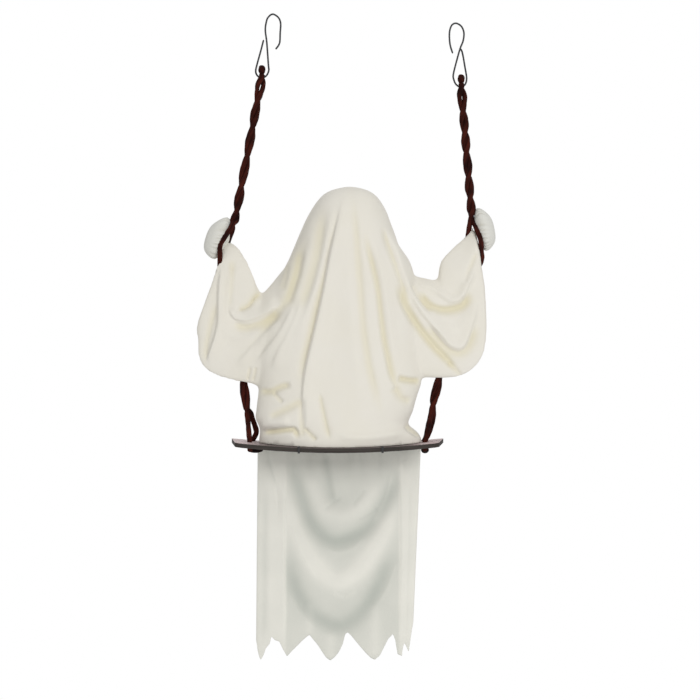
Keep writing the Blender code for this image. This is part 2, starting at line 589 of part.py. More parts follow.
def make_ropes(side, name, eye, turn, wrist, hole, half_turns, upper, figure):
    """One rope's four strands, and the room that the two lower ones need in what they cross."""
    upper_path = upper_pair(eye, turn, half_turns)
    lower_path = lower_pair(turn, wrist, hole)
    spaces = []
    for far, letter in ((False, "a"), (True, "b")):
        points = strand_of(upper_path, side, far)
        title = f"{name}_upper_strand_{letter}"
        make_tube(title, points, STRAND_DIAMETER, rope_cloth(title), upper)
        points, radii = round_start(strand_of(lower_path, side, far))
        title = f"{name}_lower_strand_{letter}"
        make_tube(title, points, STRAND_DIAMETER, rope_cloth(title), figure, radii)
        room = make_tube(title + "_space", points, STRAND_DIAMETER + 4 * GAP, rope_cloth(title),
                         figure)
        spaces.append(as_cutter(room))
    return spaces


def make_top_knot(name, eye, parent):
    """A lump over the wire: rings of an egg, flat underneath where the strands come up."""
    low, top = TOP_KNOT_ARC
    angles = np.arange(KNOT_COLUMNS) * 2 * math.pi / KNOT_COLUMNS
    rings = []
    for t in np.linspace(low, top, KNOT_RINGS):
        lump = 1 + KNOT_LUMP_SHARE * np.cos(KNOT_LUMPS * angles + t)
        rings.append(np.stack([
            eye[0] + TOP_KNOT_WIDTH / 2 * math.cos(t) * np.cos(angles) * lump,
            TOP_KNOT_DEPTH / 2 * math.cos(t) ** KNOT_END_POWER * np.sin(angles) * lump,
            np.full(KNOT_COLUMNS, TOP_KNOT_HEIGHT * (math.sin(t) - math.sin(low))
                    / (math.sin(top) - math.sin(low)))], axis=1))
    rings = np.array(rings)
    rings[:, :, 2] += eye[2] + EYE_STAND
    return loft(name, rings, rope_cloth(name), parent)


def make_bottom_knot(name, hole, parent):
    """A block with rounded edges, close under the board between the two holes."""
    bm = bmesh.new()
    bmesh.ops.create_cube(bm, size=1.0)
    size = np.array([BOTTOM_KNOT_WIDTH, BOTTOM_KNOT_DEPTH, BOTTOM_KNOT_HEIGHT])
    middle = np.array([hole[0], 0, hole[2] - BOARD_THICKNESS - GAP - BOTTOM_KNOT_HEIGHT / 2])
    for vert in bm.verts:
        vert.co = from_parent(parent, middle + np.array(vert.co) * size)
    bmesh.ops.bevel(bm, geom=bm.edges, offset=BOTTOM_KNOT_EDGE, segments=2, profile=0.5,
                    affect="EDGES")
    return finish_mesh(bm, name, rope_cloth(name), parent, KNOT_SMOOTH_ANGLE)


def board_half_length(y):
    """Half the board's length at a depth from its own middle, with rounded corners."""
    half = BOARD_LENGTH / 2 + BOARD_FLARE * y / BOARD_DEPTH
    inside = np.clip(BOARD_DEPTH / 2 - np.abs(y), 0, BOARD_CORNER)
    corner = BOARD_CORNER - np.sqrt(np.maximum(BOARD_CORNER ** 2 - (BOARD_CORNER - inside) ** 2, 0))
    return half - corner


def make_board(holes, parent):
    """A bowed slab over a grid, with four holes for the strands."""
    inner = BOARD_DEPTH / 2 - BOARD_CORNER
    corner_rows = inner + BOARD_CORNER * np.cos(np.array((0, 1 / 3, 2 / 3, 1)) * math.pi / 2)
    depths = np.concatenate([-corner_rows, np.linspace(-inner, inner, BOARD_ROWS)[1:-1],
                             corner_rows[::-1]])
    across = np.linspace(-1, 1, BOARD_COLUMNS + 1)
    rings = []
    for x_share in across:
        x = SEAT[0] + x_share * board_half_length(depths)
        y = BOARD_BACK + depths
        top = board_top(x, y)
        upper = np.stack([x, y, top], axis=1)
        lower = np.stack([x, y, top - BOARD_THICKNESS], axis=1)
        rings.append(np.concatenate([upper, lower[::-1]]))
    colour = make_material("seat_board", (0.42, 0.33, 0.29), 0.7)
    board = loft("seat_board", rings, colour, parent, "strip", "strip")
    for hole in holes:
        for depth in (-HOLE_DEPTH_SPAN / 2, HOLE_DEPTH_SPAN / 2):
            radius = STRAND_RADIUS + HOLE_CLEARANCE
            high = 2 * BOARD_THICKNESS
            cutter = lathe("hole_cutter", ((radius, hole[2] - high), (radius, hole[2] + high)), HOLE_COLUMNS,
                           (hole[0], depth), colour, parent)
            cut(board, as_cutter(cutter))
    return board


def make_tie(name, x, parent):
    """A flat clip round the board's back edge: a band's outline, given its width along X."""
    back = BOARD_BACK - BOARD_DEPTH / 2
    inner = [(back + TIE_LEG, GAP), (back - GAP, GAP), (back - GAP, -BOARD_THICKNESS - GAP),
             (back + TIE_LEG, -BOARD_THICKNESS - GAP)]
    outer = [(back + TIE_LEG, -BOARD_THICKNESS - GAP - TIE_THICKNESS),
             (back - GAP - TIE_THICKNESS, -BOARD_THICKNESS - GAP - TIE_THICKNESS),
             (back - GAP - TIE_THICKNESS, GAP + TIE_THICKNESS),
             (back + TIE_LEG, GAP + TIE_THICKNESS)]
    bm = bmesh.new()
    sides = []
    for edge in (x - TIE_WIDTH / 2, x + TIE_WIDTH / 2):
        ring = []
        for y, rise in inner + outer:
            ring.append(bm.verts.new(from_parent(parent, (edge, y, board_top(x, y) + rise))))
        sides.append(ring)
    count = len(sides[0])
    for i in range(count):
        j = (i + 1) % count
        bm.faces.new((sides[0][i], sides[0][j], sides[1][j], sides[1][i]))
    for ring in sides:
        for a, b in ((0, 7), (1, 6), (2, 5)):
            bm.faces.new((ring[a], ring[a + 1], ring[b - 1], ring[b]))
    return finish_mesh(bm, name, make_material(name, (0.01, 0.01, 0.01), 0.6), parent)


def robe_height(share):
    """Height above the seat at a share of the way up: the body's part, then the hood's."""
    return np.interp(share, (0, HOOD_START_SHARE, 1), (0, ROBE_HEIGHT - HOOD_HEIGHT, ROBE_HEIGHT))


def robe_section(height):
    """Middle, half width, half depth and lap of the robe at a height above the seat."""
    body = np.array(BODY_SECTION_SHARES)
    hood = np.array(HOOD_SECTION_SHARES)
    heights = np.concatenate([body[:, 0] * (ROBE_HEIGHT - HOOD_HEIGHT),
                              ROBE_HEIGHT - hood[:, 0] * HOOD_RADIUS])
    widths = np.concatenate([body[:, 1] * ROBE_WIDTH / 2, hood[:, 1] * HOOD_RADIUS])
    depths = np.concatenate([body[:, 2] * BODY_HALF_DEPTH, hood[:, 2] * HOOD_RADIUS])
    middles = np.concatenate([body[:, 3], hood[:, 3]])
    middle = SEAT[0] + SEAT_MIDDLE + (CROWN_MIDDLE - SEAT_MIDDLE) * np.interp(height, heights, middles)
    lap = LAP_REACH * np.interp(height, heights[:len(LAP_SHARES)], LAP_SHARES)
    return middle, np.interp(height, heights, widths), np.interp(height, heights, depths), lap


def robe_fold(share, turns):
    """Height of the folds: each is a rounded ridge along a slanting line, fading at both ends."""
    total = np.zeros_like(turns)
    for seat, crown, low, high, width, height in ROBE_FOLD_SHARES:
        line = seat + (crown - seat) * share
        away = (turns - line + 0.5) % 1 - 0.5
        ends = np.clip((share - low) / FOLD_FADE_SHARE + 1, 0, 1)
        ends = ends * np.clip((high - share) / FOLD_FADE_SHARE, 0, 1)
        total += height * ends * np.exp(-(away / width) ** 2)
    return ROBE_FOLD * np.minimum(total, FOLD_LIMIT_SHARE)


def robe_ring(share, grow, folds, columns=ROBE_COLUMNS):
    """One ring of the robe, from the middle of the back towards +X: an ellipse whose front
    reaches out over the lap, with its folds, grown or shrunk evenly."""
    turns = np.arange(columns) / columns
    angle = turns * 2 * math.pi
    height = robe_height(share)
    middle, wide, deep, lap = robe_section(height)
    front = np.clip(-np.cos(angle), 0, 1)
    out = grow + (robe_fold(share, turns) if folds else 0)
    x = middle + (wide + out) * np.sin(angle)
    y = ROBE_BACK - (deep + out) * np.cos(angle) + lap * front
    foot = board_top(x, y) + GAP
    return np.stack([x, y, foot + (CROWN_HEIGHT + min(grow, 0) - foot) * height / ROBE_HEIGHT], axis=1)


def make_robe(parent):
    outer = [robe_ring(share, 0, True) for share in ROBE_ROW_SHARES[::-1]]
    inner = [robe_ring(share, -ROBE_WALL, False) for share in INNER_ROW_SHARES]
    robe = loft("robe", outer + inner, cream_cloth("robe"), parent)
    hole = make_tube("arm_hole_cutter", ((SEAT[0] - ROBE_WIDTH, ROBE_BACK, ARM_HEIGHT),
                                         (SEAT[0] + ROBE_WIDTH, ROBE_BACK, ARM_HEIGHT)),
                     2 * ARM_HOLE_RADIUS, cream_cloth("arm_hole_cutter"), parent, None, 4)
    cut(robe, as_cutter(hole))
    return weld_cuts(robe)


def robe_cutter(parent):
    """The space that the robe takes, a clearance larger all round, to fit what meets it."""
    rings = [robe_ring(share, SLEEVE_CLEARANCE, True) for share in ROBE_ROW_SHARES[::-1]]
    return as_cutter(loft("robe_space", rings, cream_cloth("robe_space"), parent))


def make_padding(parent):
    """Stuffing that fills the body of the robe, with a stepped bore for the flange and spine."""
    full = np.interp(ARM_HEIGHT - PADDING_DROP - SEAT[2], robe_height(np.array(INNER_ROW_SHARES)),
                     INNER_ROW_SHARES)
    rows = [share for share in INNER_ROW_SHARES if share < full - PADDING_STEP_SHARE] + [full]
    outer = [robe_ring(share, -ROBE_WALL - 4 * GAP, False)[::2] for share in rows[::-1]]
    columns = len(outer[0])
    angle = np.arange(columns) * 2 * math.pi / columns
    seat = board_top(SPINE_X, ROBE_BACK)
    top = outer[0][:, 2].mean()
    flat_share = math.cos(math.pi / columns)
    bore = SPINE_DIAMETER / 2 + GAP
    boss = bore + FLANGE_BOSS_WALL + GAP
    flange = FLANGE_DIAMETER / 2 + GAP
    step = seat + FLANGE_THICKNESS + 4 * GAP
    shoulder = seat + FLANGE_BOSS_HEIGHT + 4 * GAP
    inner = []
    for radius, height in ((flange, None), (flange, step), (boss, step), (boss, shoulder),
                           (bore, shoulder), (bore, top)):
        x = SPINE_X + radius / flat_share * np.sin(angle)
        y = ROBE_BACK - radius / flat_share * np.cos(angle)
        z = board_top(x, y) + GAP if height is None else np.full(columns, height)
        inner.append(np.stack([x, y, z], axis=1))
    rings = outer + inner
    bm = bmesh.new()
    rows = [[bm.verts.new(point) for point in ring] for ring in from_parent(parent, rings)]
    for k, upper in enumerate(rows):
        lower = rows[(k + 1) % len(rows)]
        for i in range(columns):
            j = (i + 1) % columns
            bm.faces.new((upper[i], upper[j], lower[j], lower[i]))
    material = make_material("torso_padding", (0.85, 0.85, 0.83), 1.0)
    return finish_mesh(bm, "torso_padding", material, parent)


def make_flange(parent):
    """A disc with a boss that holds the spine tube's foot."""
    seat = float(board_top(SPINE_X + FLANGE_DIAMETER / 2, 0)) + GAP
    outer = SPINE_DIAMETER / 2 + GAP + FLANGE_BOSS_WALL
    inner = SPINE_DIAMETER / 2 + GAP
    floor = seat + FLANGE_THICKNESS / 2
    profile = ((FLANGE_DIAMETER / 2, seat), (FLANGE_DIAMETER / 2, seat + FLANGE_THICKNESS),
               (outer, seat + FLANGE_THICKNESS), (outer, seat + FLANGE_BOSS_HEIGHT),
               (inner, seat + FLANGE_BOSS_HEIGHT), (inner, floor))
    material = make_material("base_flange", (0.03, 0.03, 0.03), 0.5)
    return lathe("base_flange", profile, SPINE_COLUMNS, (SPINE_X, ROBE_BACK), material, parent), floor


def make_spine(floor, parent):
    """A tube from the flange up into the head form's socket, cross-drilled for the arm wire."""
    outer = SPINE_DIAMETER / 2
    inner = outer - SPINE_WALL
    low = floor + GAP
    high = HEAD_MIDDLE - HEAD_RADIUS + NECK_SOCKET
    profile = ((outer, high), (outer, low), (inner, low), (inner, high))
    material = make_material("spine_tube", (0.8, 0.8, 0.78), 0.5)
    spine = lathe("spine_tube", profile, SPINE_COLUMNS, (SPINE_X, ROBE_BACK), material, parent, True)
    radius = ARM_WIRE_DIAMETER / 2 + GAP
    hole = make_tube("spine_hole_cutter", ((SPINE_X - 2 * outer, ROBE_BACK, ARM_HEIGHT),
                                           (SPINE_X + 2 * outer, ROBE_BACK, ARM_HEIGHT)),
                     2 * radius, material, parent, None, 3)
    cut(spine, as_cutter(hole))
    return spine


def make_head(parent):
    """A hollow ball with a socket that reaches up into it for the spine."""
    bore = SPINE_DIAMETER / 2 + GAP
    rim = bore + SOCKET_WALL
    bottom = HEAD_MIDDLE - HEAD_RADIUS
    profile = []
    start = math.asin(rim / HEAD_RADIUS)
    for t in np.linspace(math.pi - HEAD_POLE, start, HEAD_RINGS):
        profile.append((HEAD_RADIUS * math.sin(t), HEAD_MIDDLE - HEAD_RADIUS * math.cos(t)))
    profile += [(bore, bottom), (bore, bottom + NECK_SOCKET), (rim, bottom + NECK_SOCKET)]
    inner = HEAD_RADIUS - HEAD_WALL
    start = math.asin(rim / inner)
    for t in np.linspace(start, math.pi - HEAD_POLE, HEAD_RINGS - 2):
        profile.append((inner * math.sin(t), HEAD_MIDDLE - inner * math.cos(t)))
    material = make_material("head_form", (0.85, 0.85, 0.83), 0.6)
    return lathe("head_form", profile, HEAD_COLUMNS, (SPINE_X, ROBE_BACK), material, parent)


def hand_axis(side):
    return np.array([side * math.cos(HAND_TILT), 0, math.sin(HAND_TILT)])


def arm_points():
    """The arm wire's route: hand, wrist, elbow, shoulder, straight across, and the same again."""
    halves = []
    elbows = ((LEFT_ELBOW_IN, -LEFT_ELBOW_FALL), (-RIGHT_ELBOW_IN, -RIGHT_ELBOW_FALL))
    for side, wrist, elbow in ((-1, LEFT_WRIST, elbows[0]), (1, RIGHT_WRIST, elbows[1])):
        axis = hand_axis(side)
        shoulder = np.array([SPINE_X + side * (ROBE_WIDTH / 2 - SHOULDER_INSET), ROBE_BACK, ARM_HEIGHT])
        bend = wrist - axis * (HAND_NECK_LENGTH + ARM_ROUNDING + GAP)
        halves.append([wrist + axis * HAND_WIRE_REACH, bend, wrist + flat(elbow), shoulder])
    return smooth_path(halves[0] + halves[1][::-1], ARM_ROUNDING, ARM_ROUNDING)


def make_arm_wire(parent):
    material = make_material("arm_wire", (0.5, 0.5, 0.5), 0.35, 1.0)
    return make_tube("arm_wire", arm_points(), ARM_WIRE_DIAMETER, material, parent, None, 1)


def make_hand(name, side, wrist, cutters, parent):
    """A stuffed pouch gathered at the wrist: rings about its axis whose gathers fade outwards, and
    a blind bore for the wire."""
    axis = hand_axis(side)
    up = np.array([-side * math.sin(HAND_TILT), 0, math.cos(HAND_TILT)])
    angle = np.arange(HAND_COLUMNS) * 2 * math.pi / HAND_COLUMNS
    across = np.array([0, 1, 0])
    spokes = np.cos(angle)[:, None] * up + np.sin(angle)[:, None] * across
    bore = ARM_WIRE_DIAMETER / 2 + GAP
    neck = HAND_NECK_RADIUS
    rings = []
    for place, radius in ((HAND_WIRE_REACH + 2 * GAP, bore), (-HAND_NECK_LENGTH, bore),
                          (-HAND_NECK_LENGTH, neck)):
        rings.append(wrist + axis * place + spokes * radius)
    for place, high, deep in zip(HAND_AXIAL_SHARES, HAND_HEIGHT_SHARES, HAND_DEPTH_SHARES):
        gather = HAND_GATHER_SHARE * max(1 - 2 * abs(place - HAND_GATHER_PLACE), 0)
        wave = 1 + gather * np.cos(HAND_GATHERS * angle)[:, None]
        oval = np.cos(angle)[:, None] * up * high + np.sin(angle)[:, None] * across * deep
        rings.append(wrist + axis * HAND_LENGTH * place + HAND_RADIUS * oval * wave)
    hand = loft(name, rings, cream_cloth(name), parent)
    for cutter in cutters:
        cut(hand, cutter)
    return weld_cuts(hand)


def sleeve_edge(wrist, side, outer, top, size, shares, count):
    """An edge of the sleeve's outline as places in the rope plane."""
    shares = curve_through(shares, count)
    x = wrist[0] + side * (outer - size[0] * shares[:, 0])
    z = wrist[2] + top - size[1] * shares[:, 1]
    return np.stack([x, 0 * x, z], axis=1)


def make_sleeve(name, side, wrist, outer, top, size, edges, cutters, parent):
    """A hanging bag over the arm: flat rings from the body to the wrist, each between a point of
    the outline's top and one of its bottom, thick at the arm, thin at the hem, with swags."""
    count = SLEEVE_ROWS
    upper = sleeve_edge(wrist, side, outer, top, size, edges[0], count)
    lower = sleeve_edge(wrist, side, outer, top, size, edges[1], count)
    down = np.linspace(0, 1, SLEEVE_COLUMNS)
    rings = []
    for k in range(count):
        along = k / (count - 1)
        line = upper[k] + (lower[k] - upper[k]) * down[:, None]
        bulge = np.sqrt(np.clip(1 - (2 * down - 1) ** 4, 0, 1)) * (1 - SLEEVE_HEM_THINNING * down)
        half = (SLEEVE_DEPTH - SLEEVE_EDGE) / 2 * (1 - along) ** SLEEVE_TAPER_POWER + SLEEVE_EDGE / 2
        half = half * bulge + GAP
        lean = SLEEVE_LEAN_SHARE + (1 - SLEEVE_LEAN_SHARE) * along
        middle = SLEEVE_BACK * lean * np.sin(np.clip(down / SLEEVE_LEAN_REACH, 0, 1) * math.pi / 2)
        swag = np.sin(math.pi * down) * math.sin(math.pi * min(along + SWAG_START_SHARE, 1))
        wave = SLEEVE_FOLD * swag * np.cos(2 * math.pi * SLEEVE_SWAGS * (down - along / 4))
        near = line.copy()
        far = line.copy()
        near[:, 1] = middle - half - np.maximum(wave, -half / 2)
        far[:, 1] = middle + half
        rings.append(np.concatenate([near, far[::-1]]))
    sleeve = loft(name, rings, cream_cloth(name), parent, "strip", "strip")
    for cutter in cutters:
        cut(sleeve, cutter)
    return weld_cuts(sleeve)


def hem_columns():
    """Width shares of the skirt's columns and the hem's notch share at each."""
    widths, notches = [], []
    for (w0, n0), (w1, n1) in zip(HEM_SHARES, HEM_SHARES[1:]):
        for k in range(HEM_MIDS + 1):
            t = k / (HEM_MIDS + 1)
            widths.append(w0 + (w1 - w0) * t)
            notches.append(n0 + (n1 - n0) * t)
    return np.array(widths + [HEM_SHARES[-1][0]]), np.array(notches + [HEM_SHARES[-1][1]])


def make_skirt(parent):
    """Two hanging layers as one flat body: a round bead along the hinge line, then swags and side
    pleats that deepen downwards, and the cut hem."""
    widths, notches = hem_columns()
    out = 2 * widths - 1
    bead = SKIRT_BEAD_RADIUS
    x_top = SKIRT_HINGE[0] + SKIRT_SHIFT + out * SKIRT_WIDTH / 2
    x_hem = SKIRT_HINGE[0] + SKIRT_HEM_SHIFT + out * SKIRT_HEM_WIDTH / 2
    rows = []
    for angle in SKIRT_BEAD_ANGLES:
        half = bead * math.cos(angle)
        height = SKIRT_HINGE[2] + bead * math.sin(angle)
        rows.append(flat_ring(x_top, SKIRT_HINGE[1], half, np.full_like(x_top, height)))
    side = 1 - SKIRT_SIDE_THINNING * np.abs(out) ** 6
    pleat = sum(depth * np.exp(-((widths - at) / wide) ** 2) for at, wide, depth in PLEAT_SHARES)
    start = SKIRT_BEAD_REACH * bead
    for share in np.linspace(0, 1, SKIRT_ROWS) ** SKIRT_ROW_POWER:
        length = SKIRT_LENGTH - start - SKIRT_HEM_CUT * notches
        fill = min(share / SKIRT_FILL_SHARE, 1)
        half = (SKIRT_NECK + (SKIRT_DEPTH - SKIRT_NECK) * fill) / 2
        half *= 1 - HEM_THINNING * max(share - 1 + HEM_THIN_SHARE, 0) / HEM_THIN_SHARE
        arc = share - SWAG_DROP_SHARE * (1 - out ** 2)
        swag = np.cos(2 * math.pi * SKIRT_SWAGS * arc) * (1 - np.abs(out) ** 3) * (1 - share ** 3)
        push = np.maximum(SKIRT_FOLD * fill * (swag + pleat), -half / 2)
        rows.append(flat_ring(x_top + (x_hem - x_top) * share, SKIRT_HINGE[1], half * side + push,
                              SKIRT_HINGE[2] - start - length * share))
    return loft("skirt", rows, cream_cloth("skirt"), parent, "strip", "strip")


def flat_ring(x, y, half, z):
    """A ring that runs along X behind y and back in front of it, half a depth away on each side."""
    near = np.stack([x, y - half + 0 * x, z], axis=1)
    far = np.stack([x, y + half + 0 * x, z], axis=1)
    return np.concatenate([near, far[::-1]])


def front_of_robe(x, z):
    """Depth of the robe's plain front at a place seen from the front."""
    middle, wide, deep, _ = robe_section(z - SEAT[2])
    reach = np.clip((x - middle) / wide, -1, 1)
    return ROBE_BACK + deep * np.sqrt(1 - reach ** 2)


def make_patch(name, size, x, drop, parent):
    """A felt oval that lies on the hood: rings of an ellipse, one set a gap off the cloth and one
    its thickness further out."""
    angle = np.arange(PATCH_COLUMNS) * 2 * math.pi / PATCH_COLUMNS
    rings = []
    for lift, order in ((PATCH_CLEARANCE, PATCH_SHARES),
                        (PATCH_CLEARANCE + FELT_THICKNESS, PATCH_SHARES[::-1])):
        for share in order:
            px = x + size[0] / 2 * share * np.cos(angle)
            pz = CROWN_HEIGHT - drop + size[1] / 2 * share * np.sin(angle)
            rings.append(np.stack([px, front_of_robe(px, pz) + lift, pz], axis=1))
    return loft(name, rings, make_material(name, (0.01, 0.01, 0.012), 0.95), parent)


def build():
    clear_scene()
    swing = make_empty("swing_line", (LEFT_EYE + RIGHT_EYE) / 2)
    turn = make_empty("wrist_line", (LEFT_TURN + RIGHT_TURN) / 2, swing)
    front = make_empty("seat_front_line", SKIRT_HINGE, turn)
    hooks = make_empty("hanging_points", (0, 0, 0))
    make_hook("left_hook", LEFT_CROWN, LEFT_HOOK_SHARES, hooks)
    make_hook("right_hook", RIGHT_CROWN, RIGHT_HOOK_SHARES, hooks, True)
    make_top_knot("left_top_knot", LEFT_EYE, swing)
    make_top_knot("right_top_knot", RIGHT_EYE, swing)
    left_hole = np.array([SEAT[0] - HOLE_SPAN / 2, 0, 0])
    right_hole = np.array([SEAT[0] + HOLE_SPAN / 2, 0, 0])
    for hole in (left_hole, right_hole):
        hole[2] = board_top(hole[0], 0)
    left = make_ropes(-1, "left", LEFT_EYE, LEFT_TURN, LEFT_WRIST, left_hole, LEFT_HALF_TURNS,
                      swing, turn)
    right = make_ropes(1, "right", RIGHT_EYE, RIGHT_TURN, RIGHT_WRIST, right_hole,
                       RIGHT_HALF_TURNS, swing, turn)
    make_bottom_knot("left_bottom_knot", left_hole, turn)
    make_bottom_knot("right_bottom_knot", right_hole, turn)
    make_board((left_hole, right_hole), turn)
    make_tie("left_seat_tie", SEAT[0] + TIE_SHIFT - TIE_SPAN / 2, turn)
    make_tie("right_seat_tie", SEAT[0] + TIE_SHIFT + TIE_SPAN / 2, turn)
    flange, floor = make_flange(turn)
    make_spine(floor, turn)
    make_head(turn)
    make_padding(turn)
    make_arm_wire(turn)
    make_robe(turn)
    make_hand("left_hand", -1, LEFT_WRIST, left, turn)
    make_hand("right_hand", 1, RIGHT_WRIST, right, turn)
    body = robe_cutter(turn)
    channel = as_cutter(make_tube("arm_channel", arm_points(), ARM_WIRE_DIAMETER + 4 * GAP,
                                  cream_cloth("arm_channel"), turn))
    make_sleeve("left_sleeve", -1, LEFT_WRIST, LEFT_SLEEVE_OUTER, LEFT_SLEEVE_TOP,
                (LEFT_SLEEVE_WIDTH, LEFT_SLEEVE_HEIGHT),
                (LEFT_SLEEVE_TOP_SHARES, LEFT_SLEEVE_BOTTOM_SHARES), (body, channel, *left), turn)
    make_sleeve("right_sleeve", 1, RIGHT_WRIST, RIGHT_SLEEVE_OUTER, RIGHT_SLEEVE_TOP,
                (RIGHT_SLEEVE_WIDTH, RIGHT_SLEEVE_HEIGHT),
                (RIGHT_SLEEVE_TOP_SHARES, RIGHT_SLEEVE_BOTTOM_SHARES), (body, channel, *right), turn)
    eye = (FACE_EYE_WIDTH, FACE_EYE_HEIGHT)
    make_patch("left_eye", eye, SPINE_X + FACE_EYE_SPAN / 2, FACE_EYE_DROP, turn)
    make_patch("right_eye", eye, SPINE_X - FACE_EYE_SPAN / 2, FACE_EYE_DROP, turn)
    make_patch("mouth", (MOUTH_WIDTH, MOUTH_HEIGHT), SPINE_X, MOUTH_DROP, turn)
    make_skirt(front)


build()
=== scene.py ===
"""The look of a cloth ghost that sits on a rope swing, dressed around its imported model.

The robe is lofted from rings, made one skin, smoothed, and folded along the lines that its cloth
hangs in. Everything is in metres in the model's frame: +X to the right seen from behind, +Y the way
the ghost faces, +Z up, with the origin under the left hook's crown.
"""

import math

import bmesh
import bpy
import numpy as np
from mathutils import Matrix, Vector
from mathutils.bvhtree import BVHTree


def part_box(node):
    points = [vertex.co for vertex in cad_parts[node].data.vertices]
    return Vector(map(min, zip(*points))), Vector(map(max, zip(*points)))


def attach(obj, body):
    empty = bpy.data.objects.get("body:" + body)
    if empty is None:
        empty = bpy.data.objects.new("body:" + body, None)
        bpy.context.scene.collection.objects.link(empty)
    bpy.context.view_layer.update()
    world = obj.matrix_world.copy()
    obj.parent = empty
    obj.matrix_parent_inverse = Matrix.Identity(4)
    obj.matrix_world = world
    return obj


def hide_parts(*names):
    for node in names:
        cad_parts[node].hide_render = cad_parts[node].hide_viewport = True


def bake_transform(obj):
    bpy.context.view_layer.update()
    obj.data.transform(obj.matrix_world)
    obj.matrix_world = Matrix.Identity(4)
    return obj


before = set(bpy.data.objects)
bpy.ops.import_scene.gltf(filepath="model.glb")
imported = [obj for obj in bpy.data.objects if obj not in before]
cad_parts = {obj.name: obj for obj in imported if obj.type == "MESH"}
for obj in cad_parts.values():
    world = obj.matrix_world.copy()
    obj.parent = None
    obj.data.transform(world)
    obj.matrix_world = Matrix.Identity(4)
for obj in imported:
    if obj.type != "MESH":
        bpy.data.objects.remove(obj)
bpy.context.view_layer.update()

MM = 0.001

# The photograph: one pixel at the ropes, where the left hook's crown is, and its middle
PIXEL = 1.416 * MM
CROWN_PX = (272.6, 14.2)
CROWN_RISE = 1.25 * MM
PHOTO_MIDDLE_PX = (350.0, 350.0)
PHOTO_WIDTH_PX = 700
CAMERA_DISTANCE = 3.0
SENSOR = 36.0
FLOOR = -1.26  # height of the stage's round floor
FLOOR_RADIUS = 1.55
FLOOR_COLUMNS = 96
FLOOR_GLOW = 0.38  # for the camera alone
WORLD_LIGHT = 0.52  # the camera sees white, the object is lit by this much


def place(px, py, depth=0.0):
    """World places of photograph points at a depth: the point's distance from the photograph's
    middle, in metres at the ropes, times how much further away than the ropes the depth lies."""
    px, py, depth = np.broadcast_arrays(np.asarray(px, float), py, depth)
    scale = 1 + depth / CAMERA_DISTANCE
    x = (PHOTO_MIDDLE_PX[0] - CROWN_PX[0] + (px - PHOTO_MIDDLE_PX[0]) * scale) * PIXEL
    z = (CROWN_PX[1] - PHOTO_MIDDLE_PX[1] - (py - PHOTO_MIDDLE_PX[1]) * scale) * PIXEL + CROWN_RISE
    return np.stack([x, depth, z], axis=-1)


def in_photo(points):
    """Photograph coordinates of world places, the reverse of place()."""
    middle = place(*PHOTO_MIDDLE_PX)
    scale = 1 + points[:, 1] / CAMERA_DISTANCE
    px = PHOTO_MIDDLE_PX[0] + (points[:, 0] - middle[0]) / scale / PIXEL
    py = PHOTO_MIDDLE_PX[1] - (points[:, 2] - middle[2]) / scale / PIXEL
    return np.stack([px, py], axis=1)


# Places that the model gives
BOARD_LOW, BOARD_HIGH = (np.array(corner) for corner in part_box("seat_board"))
SEAT = np.array([(BOARD_LOW[0] + BOARD_HIGH[0]) / 2, (BOARD_LOW[1] + BOARD_HIGH[1]) / 2, BOARD_HIGH[2]])
BOARD_LENGTH = BOARD_HIGH[0] - BOARD_LOW[0]
BOARD_DEPTH = BOARD_HIGH[1] - BOARD_LOW[1]
BOARD_SAG = 7.5 * MM
BOARD_DROOP = 2.0 * MM
BOARD_THICKNESS = 6.0 * MM


def board_top(x, y):
    """Height of the seat's top: a parabola along its length, and a back edge that droops."""
    along = (x - SEAT[0]) / (BOARD_LENGTH / 2)
    back = np.clip((SEAT[1] - y) / (BOARD_DEPTH / 2), 0, 1)
    bow = 1 - np.clip(along ** 2, 0, 1)
    return SEAT[2] - BOARD_SAG * bow - BOARD_DROOP * bow * back ** 3


# Robe: rows of the body as y, left and right edge in the photograph, and half depth in millimetres
ROBE_MIDDLE_DEPTH = -8.2 * MM
BODY_ROWS_PX = (
    (186.6, 347.0, 352.0, 3), (188.2, 339.0, 360.0, 15), (190.5, 331.0, 367.0, 25), (194.0, 324.5, 373.5, 34),
    (199.0, 319.0, 379.0, 42), (206.0, 313.5, 383.5, 49), (214.0, 309.0, 387.5, 54),
    (224.0, 304.0, 391.0, 57), (236.0, 298.5, 395.3, 58), (245.0, 295.0, 398.4, 57.5),
    (252.0, 292.0, 403.6, 57), (260.0, 288.5, 409.0, 56), (268.0, 284.5, 412.3, 54.5),
    (276.0, 281.0, 414.0, 53), (300.0, 272.0, 415.5, 50), (330.0, 265.0, 417.0, 48.5),
    (360.0, 260.0, 419.0, 48), (380.0, 259.0, 421.5, 48), (392.0, 258.6, 418.0, 48.3),
    (402.0, 257.2, 415.3, 49), (411.0, 256.0, 413.0, 49.5), (418.0, 255.2, 409.6, 50),
    (424.0, 258.2, 407.8, 50.3), (428.0, 259.8, 412.5, 50.5), (432.0, 260.4, 417.5, 51),
    (438.0, 259.4, 421.2, 51), (450.0, 259.4, 422.0, 51))
BODY_COLUMNS = 120
BODY_RINGS = 110
BODY_SQUARENESS = 2.3
LAP_START_PX = 396.0
LAP_REACH = 7.0 * MM

